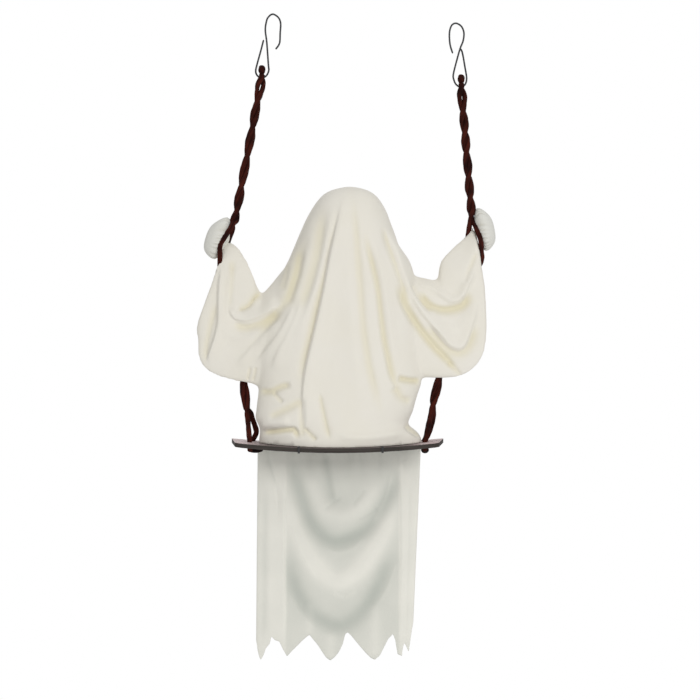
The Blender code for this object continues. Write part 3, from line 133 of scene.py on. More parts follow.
# Sleeves: x and y of the top and the bottom edge in the photograph, from inside the body to the
# wrist, with the half thickness there in millimetres
LEFT_SLEEVE_PX = (
    (305, 262, 303, 396, 38), (289, 265, 288, 395, 35), (277, 277, 274, 392, 31), (267, 289, 264, 389, 26.5),
    (261.5, 293.5, 257, 385.5, 22.5), (256.5, 285, 250, 383, 19), (250.5, 271, 238, 381, 15),
    (245.5, 259.5, 221, 377, 12.5), (240, 250, 206, 369, 12), (234, 244, 199.5, 357, 12),
    (229, 242, 198, 341, 12), (224.5, 244, 197.3, 326, 11.5), (222.3, 248, 205, 304, 10),
    (221.2, 255, 212.7, 284, 8.5), (220.6, 261, 217.6, 272, 6.5))
RIGHT_SLEEVE_PX = (
    (388, 245, 392, 374, 38), (400, 259, 405, 375, 33), (412.5, 274.5, 418, 377, 28),
    (425, 278.3, 432, 378, 23.5), (436.5, 279.3, 446, 378, 19), (438.6, 270, 458, 376.5, 16),
    (441, 261, 469, 372, 13.5), (446.5, 254, 478, 363, 13), (454.5, 246.0, 484.3, 350, 12.5),
    (461.5, 240, 486.4, 330, 12), (467.0, 235, 486, 306, 11.5), (471.0, 228.5, 484.2, 286, 10),
    (474.0, 229, 481.6, 268, 8.5), (477.0, 237, 479.6, 253, 6.5))
SLEEVE_AROUND = 88
SLEEVE_ALONG = 90
SLEEVE_LEAN = -10.0 * MM  # how far the hanging part lies behind the arm
SLEEVE_LEAN_REACH = 0.45  # share of the height over which it goes back
SLEEVE_HANG_SHARE = 0.62  # thickness of the hanging part, of the arm's
SLEEVE_ARM_SHARE, SLEEVE_ARM_REACH = 0.16, 0.2  # where the arm lies, as shares of the height
SLEEVE_ROUNDNESS = 0.7

ROBE_VOXEL = 2.6 * MM
ROBE_SMOOTHING = 9
ROBE_RIPPLES = (22 * MM, 0.35 * MM)  # their size and depth
ROBE_VALLEY_DEPTH = 5.6 * MM  # a fold this deep has the deeper colour in full, as painted shade
ROBE_TRIANGLES = 92000
CLOTH_THICKNESS = 1.2 * MM
HEM_CLEARANCE = 0.6 * MM

SOFT, CRISP = 2.0, 1.15  # powers of a fold's bell: rounded or creased

# Folds of the robe's back, where its cloth hangs from the crown, the shoulders and the arms: the
# fold's line in the photograph, x and y by turns, its width on the line's left and right in
# millimetres, going along it, and how far it stands out, or in where that is below zero
BACK_FOLDS = {
    "crown_crease": ((344.6, 193, 340, 213.7, 331.8, 251, 325, 287, 315.5, 330, 307.5, 365, 304, 392,
        302.7, 436), 2.5, 16, 4.2),
    "crown_crease_valley": ((341, 205, 329, 250, 321.5, 287, 312, 330, 303.5, 365, 300, 392), 6, 4, -2.6),
    "left_hood_valley": ((326, 203, 321.6, 226, 316, 262, 307, 296, 295, 330, 280, 365), 9, 7, -2.6),
    "left_hood_ridge": ((333, 203, 329, 240, 318, 280, 306, 310, 290, 345, 276, 372), 7, 7, 1.8),
    "left_side_valley": ((309, 232, 300, 255, 295, 275, 286, 300, 262, 333, 244, 360), 8, 6, -2.2),
    "left_shoulder_pull": ((287, 262, 285, 275, 281, 292), 4, 4, -1.6),
    "left_bag_line_a": ((280, 318, 271.6, 327.8, 255.3, 345, 241, 361.4, 235, 366.5), 4, 9, 2.2),
    "left_bag_line_b": ((295, 304, 292, 311.4, 281.8, 331.8, 268.6, 350, 255.3, 364.5), 4, 9, 2.4),
    "left_bag_line_c": ((302, 296, 297, 316.5, 288, 337, 279.8, 352, 271.6, 372.7), 4, 8, 2.2),
    "left_flank_valley": ((301, 248, 299.7, 254.6, 296.8, 273.8, 291, 292.9, 287.2, 310), 6, 6, -2.0),
    "bag_gather_a": ((250, 366, 249, 373, 247, 381), 2.2, 2.2, -1.4),
    "bag_gather_b": ((256, 366, 254.5, 374, 252.5, 382), 2.2, 2.2, -1.4),
    "elbow_swag": ((229, 303, 231, 312, 236, 318, 247, 320, 261, 315.5, 275, 308, 283, 300), 2, 13, 3.4),
    "elbow_swag_valley": ((232, 321, 241, 326, 252, 325.5, 266, 320, 279, 310), 8, 3.5, -2.8),
    "elbow_crease": ((262, 291, 254, 299, 248, 306, 240, 310, 235, 309), 4, 4, -4.4, CRISP),
    "under_swag": ((222, 322, 233, 336, 250, 338, 268, 327), 7, 8, 1.6),
    "outer_panel_edge": ((222, 262, 219.6, 285, 219, 305, 218.6, 322, 215, 338, 210, 353, 205, 366), 2, 14,
        4.6),
    "outer_panel_second": ((217.5, 301, 211, 326, 206.3, 350, 206.8, 367.5), 5, 3, -1.8),
    "forearm_valley": ((233, 257, 231, 280, 229, 300, 227.5, 316), 5, 5, -2.4),
    "forearm_ridge": ((243, 256, 250, 272, 256, 287), 4, 6, 1.6),
    "left_underarm": ((258, 391, 271, 391, 281, 386.5, 292, 384), 5, 4, -3.4),
    "left_waist_crease": ((271.6, 391, 277, 397, 283, 403), 3, 3, -1.8),
    "left_waist_swag": ((303, 399, 292, 406, 267, 418.5), 5, 6, -2.4),
    "left_seat_fold": ((261, 433, 276, 431, 291, 429.5, 295, 431, 299, 440), 4, 3.5, -4.6),
    "left_seat_roll": ((259, 426, 276, 423, 291, 421), 6, 6, 2.4),
    "left_seat_crease": ((303.6, 427.5, 310, 434, 317, 441), 3, 3, -3.0, CRISP),
    "left_seat_upright": ((303, 395, 302.5, 418, 302, 440), 5, 4, -2.4),
    "seat_crease": ((319, 390, 323, 410, 328, 432, 331, 441), 4, 3, -2.8, CRISP),
    "middle_soft": ((352, 190, 356, 231, 358.5, 262, 361, 292, 364, 330, 368, 357, 374, 384, 384, 421), 8,
        5, -2.3),
    "middle_plateau": ((345, 215, 347, 260, 350, 310, 355, 360, 362, 410), 12, 12, 1.6),
    "right_hood_valley": ((364, 228, 368, 246, 373, 266, 378, 288, 381, 314, 384, 338, 387.5, 356, 392,
        376, 399, 390, 409, 396), 4, 6, -3.6),
    "right_hood_ridge": ((371, 232, 379, 265, 386, 300, 391, 335, 396, 362), 7, 7, 1.8),
    "right_drape_edge": ((387, 228, 395, 252, 402, 275, 409.5, 292, 420.6, 309.6, 432, 324, 444, 337, 452,
        345), 3, 10, 3.6),
    "hood_edge_valley": ((382, 224, 384.8, 232.6, 391.5, 251.7, 397.2, 266, 403.9, 285.2, 408.7, 304.4), 5,
        2.5, -2.6),
    "right_drape_valley": ((398, 281, 404, 300, 414, 319, 426, 336, 438, 350, 449, 361, 458, 373), 6, 5,
        -5.0),
    "right_drape_valley_above": ((409, 280, 416, 294, 424, 304, 433, 314), 4, 5, -3.0),
    "forearm_swag": ((414, 283, 429, 288.5, 442, 296, 452, 301, 462, 296, 470, 280, 477, 266), 3, 7, 3.6),
    "forearm_swag_valley": ((419, 289, 427, 301, 437, 307.5, 450, 308.5, 463, 304, 471, 290), 8, 4, -4.6),
    "lower_swag": ((429, 320, 442, 336, 452, 345.5, 460, 347, 466, 340, 473, 320, 477, 300), 3, 10, 3.2),
    "lower_swag_shade": ((425, 322, 439, 340, 450, 350, 461, 352, 469, 344, 476, 322), 8, 3, -2.8),
    "lower_swag_roll": ((440, 322, 451, 330, 460, 328, 468, 312), 7, 7, 1.6),
    "right_wrist_pull": ((478, 250, 470, 268, 464, 285), 3.5, 3.5, -1.5),
    "right_bag_bottom": ((447, 361, 455, 369, 461, 376), 4, 4, -2.0),
    "right_underarm": ((397, 377, 408, 379.5, 421, 380.5), 6, 3.5, -4.2),
    "right_waist_swag": ((393, 386, 401, 397, 412, 401.5), 6, 5, -2.4),
    "right_foot_fold": ((404, 424, 411, 430.5, 421, 437), 3.5, 4, -2.6),
    "seat_roll": ((335, 436, 360, 437.5, 390, 435, 405, 431), 6, 5, 1.8)}

# Folds of the front, which the photograph doesn't show, in the same coordinates seen through the
# figure: they radiate from the hood below the face and gather over the lap
FRONT_FOLDS = {
    "left_drape_edge": ((312, 232, 303, 258, 294, 282, 278, 306, 258, 330, 240, 352), 8, 4, 3.2),
    "left_drape_valley": ((316, 262, 308, 288, 294, 314, 274, 340, 254, 362), 6, 6, -3.0),
    "right_drape_edge": ((388, 232, 397, 258, 406, 282, 424, 304, 444, 326, 460, 346), 4, 8, 3.2),
    "right_drape_valley": ((383, 262, 392, 290, 406, 318, 426, 342, 446, 362), 6, 6, -3.0),
    "chin_swag": ((322, 266, 336, 282, 350, 287, 364, 282, 377, 266), 8, 6, 2.2),
    "chest_swag": ((310, 290, 330, 313, 349, 319, 369, 312, 388, 288), 8, 6, -2.4),
    "left_long_fold": ((327, 300, 320, 340, 312, 385, 306, 440), 6, 4, 2.8),
    "left_long_valley": ((317, 320, 309, 360, 298, 410, 293, 440), 5, 5, -2.6),
    "middle_fold": ((346, 330, 344, 370, 341, 410, 343, 442), 5, 5, -2.4),
    "right_long_fold": ((371, 300, 377, 340, 384, 385, 388, 440), 4, 6, 2.8),
    "right_long_valley": ((381, 322, 390, 362, 398, 405, 402, 440), 5, 5, -2.6),
    "left_elbow_swag": ((229, 307, 236, 318, 250, 321, 268, 312, 284, 300), 6, 5, -3.6),
    "right_elbow_swag": ((412, 286, 430, 299, 448, 307, 463, 301, 472, 284), 6, 5, -3.6),
    "left_bag_line": ((292, 322, 272, 346, 250, 366), 5, 7, 1.8),
    "right_bag_line": ((404, 322, 424, 346, 452, 366), 7, 5, 1.8),
    "lap_fold": ((272, 418, 300, 426, 330, 430), 5, 5, -2.4),
    "right_lap_fold": ((404, 414, 380, 426, 352, 431), 5, 5, -2.2)}
FOLD_FADE_SHARE = 0.2  # of a fold's length, over which it dies away at each end
FOLD_STRENGTH = 1.35  # by which the robe's folds are stronger than listed
FOLD_REACH = 3.2  # widths, past which a fold is not felt
FOLD_FINENESS = 6  # points for each one in a fold's list
FACING_SHARES = (0.02, 0.55)  # how squarely cloth faces a side before its folds begin, and are full

# Body's stuffing
STUFFING_SHARE = 0.80  # of the robe's own size there
STUFFING_ROUNDED_RINGS = 6
STUFFING_END_SHARE = 0.62  # of that, at its two rounded ends
STUFFING_LUMP_SHARE = 0.03
STUFFING_DEPTH_SHARE = 0.93
STUFFING_FOOT, STUFFING_TOP = 4 * MM, 2 * MM  # inside the model's own padding
STUFFING_CLEARANCE = 0.5 * MM

# Skirt, in the photograph at its own depth: edges at the top and the hem, and the hem's points
SKIRT_DEPTH_PLACE = 62.1 * MM
SKIRT_TOP_PX = (258.5, 420.0, 447.0)
SKIRT_HEM_PX = (257.0, 412.5)
HEM_POINTS_PX = (
    (257.0, 640), (258.0, 650), (259.5, 656.5), (261.0, 659.3), (263.5, 655), (266.0, 648), (270.0, 643),
    (271.5, 635.8), (275.0, 639.5), (279.5, 641), (283.0, 648.5), (287.2, 655.8), (291.0, 651.5),
    (297.0, 645.5), (303.5, 639), (309.5, 634), (313.0, 638.5), (318.0, 644.5), (322.5, 651.5), (326.5, 657),
    (330.3, 659.6), (335.0, 656), (339.0, 651), (343.0, 643), (345.2, 633.5), (348.0, 632), (352.0, 636),
    (359.0, 644.5), (365.5, 652), (371.0, 657.3), (374.8, 659), (379.5, 655), (384.0, 646.5), (388.0, 638.5),
    (393.0, 633.4), (395.3, 640), (396.3, 647), (397.5, 653.5), (401.8, 655.5), (402.6, 648), (404.0, 642.5),
    (406.0, 645.5), (408.5, 651.3), (409.5, 645), (411.0, 633), (412.5, 622))
FAR_HEM_RISE_PX = 2.5  # the far layer's points end behind the near one's
SKIRT_ACROSS = 200
SKIRT_DOWN = 120
SKIRT_OPENING = 9.0 * MM  # between the two layers
SKIRT_OPEN_SHARE = 0.12  # of its length, down to where it is open
SKIRT_EVENNESS = 0.12  # by which columns crowd less at the side folds
SKIRT_FLATNESS = 0.35
SKIRT_RIPPLES = (26 * MM, 0.5 * MM)  # their size and depth
SKIRT_RIPPLE_START = 0.2
SKIRT_TOP_DROP = 1.0 * MM  # its top edge is glued along the seat's front edge
SKIRT_TOP_STAND = 1.6 * MM
SKIRT_HOLD_SHARE = 0.07  # of its length, down to where it hangs freely
SKIRT_FOLDS = {
    "left_side_fold": ((286, 450, 284.5, 500, 284, 560, 284, 645), 15, 2.5, 3.6, CRISP),
    "left_side_crease": ((268, 452, 272, 470, 277, 490, 279, 520), 3, 3, -1.6),
    "left_edge_valley": ((266, 480, 265, 540, 264, 650), 5, 5, -1.8),
    "right_side_fold": ((399.5, 450, 401.5, 500, 402, 560, 400, 650), 2.5, 14, 3.6, CRISP),
    "right_edge_valley": ((409, 470, 408.5, 540, 405.5, 645), 4, 4, -1.6),
    "upper_dark_swag": ((289, 448, 293, 463, 304.5, 509, 319, 532, 336, 540.4, 359, 533, 376, 517.5, 393.5,
        483, 398, 460), 12, 11, -4.4),
    "light_swag": ((285, 470, 287, 487, 297, 529, 314.6, 563, 336, 580.6, 359, 569, 379, 540, 393.5, 504.6,
        399, 480), 14, 14, 4.0),
    "lower_dark_swag": ((285, 545, 288, 562, 299, 595, 314.6, 615, 339, 625, 359, 613.6, 376, 589, 388,
        562, 396, 540), 12, 12, -4.0),
    "inner_light": ((308, 462, 312, 485, 325, 508, 345, 514, 366, 500, 380, 472), 13, 11, 2.2),
    "centre_dark": ((326, 449, 328, 470, 331, 492, 337, 504), 6, 5, -2.4),
    "waist_wrinkle_a": ((322, 511, 332, 503.5, 343, 495), 3, 1.5, -1.3, CRISP),
    "left_fine_a": ((291, 520, 302, 552, 318, 580), 4, 2, 1.3, CRISP),
    "left_fine_b": ((288, 590, 300, 612, 316, 628), 4, 2, 1.1, CRISP),
    "right_fine_a": ((392, 470, 384, 500, 371, 526), 2, 4, 1.3, CRISP),
    "right_fine_b": ((397, 560, 386, 590, 370, 612), 2, 4, 1.2, CRISP),
    "middle_fine": ((322, 545, 336, 552, 352, 548, 366, 536), 3, 2, 1.2, CRISP),
    "lower_fine": ((330, 590, 344, 596, 358, 588), 3, 2, 1.0, CRISP),
    "waist_wrinkle_b": ((357, 520.5, 369, 514, 379, 506), 2, 2, -1.3, CRISP),
    "waist_wrinkle_c": ((352, 506, 358, 498, 366, 488), 2.5, 2.5, -1.0, CRISP),
    "hem_rise": ((310, 600, 309, 620, 309, 636), 7, 7, 1.2),
    "hem_fall": ((331, 630, 330, 645, 330, 660), 8, 8, 1.6),
    "right_hem_fall": ((374, 600, 375, 630, 375, 660), 9, 9, 1.8)}
SKIRT_PLEATS_PX = (268.5, 293, 311, 324, 350.5, 361, 379, 403)  # where the seat holds the cloth in
SKIRT_PLEAT = 2.0 * MM
SKIRT_PLEAT_WIDTH_PX = 3.4
SKIRT_PLEAT_REACH = 0.20  # share of the skirt's length
SKIRT_SIDES_PX = (284.5, 400.5)  # between them the cloth is a single sheer layer, through which the shade inside shows
SKIRT_SHEER_SHADE = 0.24  # and shows this share of the deeper colour, as painted shade seen through it
SKIRT_SHEER_EDGE_PX = 3  # over which the single layer begins
SKIRT_SHEER_SHADE_START = (0.3, 0.02, 0.28)  # its share at the top, and where it grows to the full one
SKIRT_VALLEY_DEPTH = 9 * MM  # a fold this deep has the deeper colour in full, as painted shade
# a share of the deeper colour over the whole skirt: painted shade where it hangs under the seat
SKIRT_SHADE_BASE = 0.1

# Hands: their side, the middle of the gathered face in the photograph, its tilt and the length
HANDS = (("left", -1, (227.2, 238.6), math.radians(17), 30.8 * MM),
         ("right", 1, (476.6, 229.6), math.radians(11), 25.4 * MM))
HAND_AXIS_SHARE = 0.15  # of the face's tilt, by which the hand points up
HAND_HEIGHT = 30.4 * MM
HAND_DEPTH = 21.0 * MM
HAND_PROFILE = (  # shares: along the hand, height, depth
    (-0.14, 0.07, 0.10), (-0.11, 0.20, 0.22), (-0.06, 0.36, 0.32), (0.0, 0.58, 0.44), (0.07, 0.80, 0.60),
    (0.16, 0.93, 0.78), (0.28, 1.0, 0.93), (0.44, 0.97, 1.0), (0.60, 0.88, 0.95), (0.76, 0.75, 0.80),
    (0.89, 0.59, 0.62), (0.97, 0.36, 0.38), (1.0, 0.0, 0.0))
HAND_LEAST_SHARE = 0.004
HAND_AROUND = 144
HAND_ALONG = 64
HAND_GATHERS = 23
HAND_GATHER_SHARE = 0.13
HAND_GATHER_MIDDLE, HAND_GATHER_REACH = 0.10, 0.42  # along the hand

# Hooks, as the model has them: the crown, the outline in shares of the height, and how far forward
# the wire lies along it, so that it clears itself where it crosses
WIRE_DIAMETER = 2.5 * MM
WIRE_COLUMNS = 20
WIRE_POINTS = 260
WIRE_TIP_SHARE = 0.04  # of the radius squared, left at the cut end
HOOK_HEIGHT = 90.3 * MM
HOOK_CROSSING = 4.0 * MM
HANG_SPAN = 260.1 * MM
HANG_STEP = 12.9 * MM
HOOKS = {
    "left": ((0, 0, WIRE_DIAMETER / 2), (
        (0.047, 0.552), (0.108, 0.455), (0.119, 0.295), (0.125, 0.138), (0.085, 0.047), (0.0, 0.0),
        (-0.072, 0.052), (-0.102, 0.138), (-0.114, 0.257), (-0.091, 0.448), (-0.066, 0.796),
        (-0.060, 0.881), (-0.096, 0.962), (-0.168, 1.0), (-0.237, 0.966), (-0.265, 0.893),
        (-0.240, 0.773), (-0.188, 0.585), (-0.141, 0.401)), ((0.0, 1.0), (0.0, 0.0))),
    "right": ((HANG_SPAN, 0, WIRE_DIAMETER / 2 - HANG_STEP), (
        (-0.056, 0.473), (-0.094, 0.351), (-0.108, 0.227), (-0.102, 0.113), (-0.067, 0.026), (0.0, 0.0),
        (0.080, 0.049), (0.119, 0.148), (0.107, 0.274), (0.060, 0.397), (0.003, 0.598), (-0.046, 0.799),
        (-0.040, 0.881), (0.0, 0.963), (0.077, 1.0), (0.141, 0.954), (0.162, 0.858), (0.136, 0.680),
        (0.096, 0.456), (0.062, 0.385)), ((0.0, 0.84, 0.93, 1.0), (0.0, 0.0, 0.6, 1.0)))}

# Ropes
STRAND_DIAMETER = 6.4 * MM
STRAND_WIDTH = 6.9 * MM  # a strand's section, pressed a little oval
STRAND_HEIGHT = 7.4 * MM
STRAND_COLUMNS = 28
STRAND_STEP = 1.6 * MM
STRAND_ROUNDING = 9.0 * MM
STRAND_BEND = 3.6 * MM
STRAND_BEND_ROWS = 8
STRAND_ROLL = 22  # radians a metre, by which its creases wander
STRAND_CREASES = ((1.0, 0.35, 0.28, 0.09), (1.5, -0.5, 0.25, 0.06))  # times round, drift, width, depth
STRAND_SWELLS = ((0.05, 210, 1), (0.03, 530, 2))  # share, radians a metre, seeds
STRAND_FULL = 1.03
CREASE_DEPTH = 0.14  # that has the deepest colour, as painted shade in the crease
PAIR_SPREAD = 3.15 * MM  # half the distance between two strands that press on each other
EYE_STAND = 5.0 * MM
EYE_SPREAD = (WIRE_DIAMETER + STRAND_DIAMETER) / 2 + 0.9 * MM
ROPE_FORWARD = 12.0 * MM
HOLE_SPAN = 246.0 * MM
HOLE_DEPTH_SPAN = 40.0 * MM
KNOT_HALF = 7.0 * MM
UNDER_CLEARANCE = 0.5 * MM
REROUTE_GAP = 8.0 * MM
REROUTE_ROWS = 5  # before and after its own way, that set its direction
LOWER_WAYS = ((0.0, 0.0), (0.03, 0.25), (0.065, 0.65), (0.10, 0.95), (0.14, 1.0))  # way, forward
SPLIT_WAYS = ((0.0, 0.8, 0.0), (0.45, 0.45, 0.5), (0.85, 0.12, 0.95), (1.0, 0.0, 1.0))  # and spread
# Each side's rope. eye: in shares of the hook. upper: its run from there to the line where the
# figure tips. wrist: its run on to the wrist. crossings: where the photograph's strands cross, and
# the pair's half turns there, a strand going from the right over the near side to the left. split:
# share of the way from wrist to seat where the strands part. neck and plain: the two strands' own
# ways past the wrist, as photograph points and millimetres towards the front, one over the hand's
# neck and round it, the other behind the sleeve's end. seat: the first one's way at the seat. knot:
# how far in from the hole its knot under the seat lies, and that knot's half sizes.
ROPES = {
    "left": {
        "eye": (-0.168, -1), "upper": (-37.5 * MM, -198.4 * MM), "wrist": (-13.5 * MM, -34.0 * MM),
        "crossings": ((78, 101.6, 127.5, 156.9, 186.2, 211.4, 233, 413),
                      (-5.5, -4.5, -3.5, -2.5, -1.5, -0.5, 0.5, 5.5)),
        "split": 0.864,
        "neck": ((232.8, 224.5, -8), (228.8, 231, -12), (223.4, 239.2, -15.5), (220.2, 246, -16.5),
                 (220.0, 254, -15), (219.9, 262, -11.5), (219.6, 268.5, -6), (219.8, 272.2, 1),
                 (222.0, 277.5, 7.5), (226, 286, 12), (229.5, 296, 14)),
        "plain": ((233.0, 227.5, -1), (231.7, 232, -1), (229.8, 237, -0.5), (228.4, 241.5, 3),
                  (228.6, 247, 9), (230.2, 256, 13), (231.8, 272, 14.5)),
        "seat": ((250.6, 413, 7), (252.8, 419.5, 9.5), (255.2, 426.5, 13.5), (256.4, 432, 17.5),
                 (254.6, 436.8, 20)),
        "knot": (7.0 * MM, (11.5 * MM, 8.0 * MM, 4.4 * MM))},
    "right": {
        "eye": (0.077, -1), "upper": (14.6 * MM, -177.2 * MM), "wrist": (4.1 * MM, -28.3 * MM),
        "crossings": ((88, 110.9, 132, 151.8, 175.7, 196.9, 217.3, 406.1),
                      (-6.5, -5.5, -4.5, -3.5, -2.5, -1.5, -0.5, 5.5)),
        "split": 0.837,
        "neck": ((470.7, 213.5, 4), (472.0, 219, 1), (474.8, 225, -6), (477.8, 231.5, -12),
                 (480.4, 239.5, -15.5), (481.2, 246, -14.5), (481.0, 251, -9), (482.0, 255.5, -1),
                 (481.2, 261, 7.5), (476.5, 270, 12.5), (469, 284, 14)),
        "plain": ((472.2, 213.5, -4.5), (470.6, 219, -5.5), (469.2, 228, -2), (468.0, 235.7, 3.5),
                  (466.8, 246, 9), (465.4, 258, 13), (462.2, 273, 14.5)),
        "seat": ((433.4, 407, 6), (433.6, 413, 8), (432.6, 420.5, 11), (430.6, 428.5, 15),
                 (427.6, 435.5, 19)),
        "knot": (1.0 * MM, (5.9 * MM, 8.0 * MM, 5.0 * MM))}}

# Knots: turns of the outline, its rows, and how deep the grooves of their windings are
KNOT_COLUMNS = 72
TOP_KNOT_ROWS, SEAT_KNOT_ROWS = 40, 44
WINDING_SHARE = 0.14
TOP_KNOT_HALF = (5.2 * MM, 8.4 * MM, 6.3 * MM)
TOP_KNOT_RISE = 11.0 * MM
TOP_KNOT_SKEW = 0.8 * MM

# Face: width and height of each felt oval, its place across and its drop below the crown
FACE_MIDDLE_PX = 349.5
EYE_SPAN = 40.0 * MM
FACE = (("left_eye", (17.0 * MM, 27.0 * MM), 1, 62.0 * MM),
        ("right_eye", (17.0 * MM, 27.0 * MM), -1, 62.0 * MM),
        ("mouth", (19.0 * MM, 30.0 * MM), 0, 104.0 * MM))
FELT_THICKNESS = 1.4 * MM
FELT_LIFT = 0.3 * MM
FELT_COLUMNS = 96
FELT_ROWS, FELT_RIM_ROWS = 14, 7
FELT_MIDDLE_SHARE, FELT_BULGE = 0.02, 0.02

# Lamps: place, watts and width
LAMPS = {"key": ((1.35, -2.5, -0.05), 29, 1.0), "front": ((-0.5, 2.7, 0.4), 18, 1.4),
         "fill": ((-1.7, -2.2, -0.3), 9, 1.8), "top": ((0.2, 0.3, 1.9), 9, 1.4)}


class Value:
    """A number that a material works out: sums, products and powers add Math nodes."""

    def __init__(self, finish, socket):
        self.finish = finish
        self.socket = socket

    def maths(self, operation, *values):
        return self.finish.node("ShaderNodeMath", {"operation": operation}, dict(enumerate(values)))

    def __add__(self, other):
        return self.maths("ADD", self, other)

    __radd__ = __add__

    def __sub__(self, other):
        return self.maths("SUBTRACT", self, other)

    def __rsub__(self, other):
        return self.maths("SUBTRACT", other, self)

    def __mul__(self, other):
        return self.maths("MULTIPLY", self, other)

    __rmul__ = __mul__

    def __truediv__(self, other):
        return self.maths("DIVIDE", self, other)

    def __pow__(self, other):
        return self.maths("POWER", self, other)

    def sine(self):
        return self.maths("SINE", self)

    def between(self, low, high):
        """0 below low and 1 above high, as a clamped share between them."""
        return self.finish.node("ShaderNodeClamp", {}, {0: (self - low) / (high - low)})


class Finish:
    """One material, the nodes that make it, and the places that its patterns read."""

    def __init__(self, name, **constants):
        self.material = bpy.data.materials.new(name)
        self.material.use_nodes = True
        self.tree = self.material.node_tree
        self.shader = self.tree.nodes["Principled BSDF"]
        self.where = self.node("ShaderNodeTexCoord", {}, {}, "Object")
        for socket, number in constants.items():
            self.feed(self.shader.inputs[socket.replace("_", " ")], number)

    def node(self, kind, settings, values, output=0):
        """A node of a kind: its settings first, then a value, a colour or a link for each socket."""
        node = self.tree.nodes.new(kind)
        for key, setting in settings.items():
            setattr(node, key, setting)
        for key, value in values.items():
            self.feed(node.inputs[key], value)
        return Value(self, node.outputs[output])

    def feed(self, socket, value):
        if isinstance(value, Value):
            self.tree.links.new(value.socket, socket)
        elif isinstance(value, tuple) and socket.type == "RGBA":
            socket.default_value = (*value, 1)
        else:
            socket.default_value = value

    def axes(self, vector):
        """The three parts of a vector."""
        split = self.tree.nodes.new("ShaderNodeSeparateXYZ")
        self.feed(split.inputs[0], vector)
        return [Value(self, socket) for socket in split.outputs]

    def noise(self, scale, detail=2.0, roughness=0.5, where=None):
        return self.node("ShaderNodeTexNoise", {}, {"Vector": where or self.where, "Scale": scale,
                                                    "Detail": detail, "Roughness": roughness})

    def streaks(self, scales, detail=3.0):
        """A noise with its own scale along each axis."""
        stretched = self.node("ShaderNodeMapping", {}, {"Vector": self.where, "Scale": scales})
        return self.noise(1.0, detail, where=stretched)

    def cells(self, scale):
        return self.node("ShaderNodeTexVoronoi", {"feature": "F1"}, {"Vector": self.where, "Scale": scale})

    def valley(self):
        """How deep the surface lies in a fold or a groove, from its own attribute, which darkens its colour
        there as painted shade.
        """
        return self.node("ShaderNodeAttribute", {"attribute_name": "valley"}, {}, "Fac")

    def blend(self, share, first, second):
        """A colour between two."""
        return self.node("ShaderNodeMix", {"data_type": "RGBA"}, {0: share, 6: first, 7: second}, 2)

    def surface(self, color, rough, height, depth, strength):
        """Feed the shader its colour, its roughness and the bump of a height."""
        bump = self.node("ShaderNodeBump", {}, {"Strength": strength, "Distance": depth, "Height": height})
        for socket, value in (("Base Color", color), ("Roughness", rough), ("Normal", bump)):
            self.feed(self.shader.inputs[socket], value)
        return self.material


def cloth_finish(name, pale, deep, weave_depth, threads=5200):
    """Soft woven cloth: two crossed sets of threads, fine slubs, a little pilling, and a colour that
    deepens in the valleys of its folds as painted shade."""
    finish = Finish(name, Sheen_Weight=0.12, Sheen_Roughness=0.6)
    slub = finish.streaks((900, 900, 260))
    cross = finish.streaks((260, 260, 900))
    x, y, z = finish.axes(finish.where)
    weave = (x * threads + y * threads).sine() * 0.5 + (z * threads).sine() * 0.5
    pills = finish.cells(420).between(0.0, 0.35)
    cloud = finish.noise(16, 4.0)
    # painted shade: the depth in a fold pulls the colour towards the deep one; cloud and slubs are the cloth's
    # own uneven tone
    tint = cloud.between(0.3, 0.75) * 0.16 + finish.valley() * 0.95 + slub * 0.08
    height = weave * 0.25 + slub * 0.55 + cross * 0.45 - pills * 0.2
    color = finish.blend(tint.between(0.05, 1.1), pale, deep)
    return finish.surface(color, 0.86 + cloud * 0.1, height, weave_depth, 0.5)


def rope_finish(name, deep, lighter_tone):
    """Dark maroon cloth strip: fibres along the strand, painted shade in its creases, and lighter where
    it bulges, as painted highlight.
    """
    finish = Finish(name, Specular_IOR_Level=0.12)
    fibre = finish.streaks((1500, 1500, 220), 4.0)
    cloud = finish.noise(55, 3.0)
    # painted shade and highlight: a random mottle between the shaded and the lit tone, held to the shaded one
    # in creases
    share = (cloud.between(0.30, 0.72) * 0.65 + fibre * 0.35) * (1 - finish.valley() * 0.85)
    color = finish.blend(share.between(0.05, 0.95), deep, lighter_tone)
    return finish.surface(color, 0.78 + fibre * 0.15, fibre * 0.8 + cloud * 0.4, 0.35 * MM, 0.7)


def wire_finish():
    """Black coated wire with faint draw marks and spots of wear."""
    finish = Finish("hook_wire")
    marks = finish.streaks((2500, 2500, 300))
    lighter_tone = finish.noise(260, 4.0).between(0.60, 0.72)
    color = finish.blend(lighter_tone, (0.012, 0.014, 0.017), (0.055, 0.058, 0.062))
    return finish.surface(color, 0.30 + marks * 0.25 + lighter_tone * 0.1, marks, 0.08 * MM, 0.6)


def board_finish():
    """Foam board: a pinkish brown face, paler towards its ends where the robe's painted shadow leaves
    it, a greyer side darkened as painted shade, and closed cells.
    """
    finish = Finish("seat_foam", Specular_IOR_Level=0.2)
    upward = finish.axes(finish.node("ShaderNodeNewGeometry", {}, {}, "Normal"))[2]
    cells = finish.cells(900)
    cloud = finish.noise(30, 4.0)
    streak = finish.streaks((25, 260, 260))
    ends = (((finish.axes(finish.where)[0] - SEAT[0]) ** 2.0) ** 0.5).between(0.095, 0.125)
    # painted shadow: the robe's shadow darkens the face's middle, and the pink shows towards its ends
    face = finish.blend(ends * cloud.between(0.1, 0.5), (0.15, 0.12, 0.115), (0.60, 0.48, 0.48))
    # painted shade: the side and underside are given a dark grey-brown
    side = finish.blend(streak.between(0.3, 0.7), (0.034, 0.029, 0.025), (0.056, 0.047, 0.042))
    color = finish.blend(upward.between(0.3, 0.8), side, face)
    return finish.surface(color, 0.55 + cloud * 0.25, cells + streak * 0.5, 0.12 * MM, 0.5)


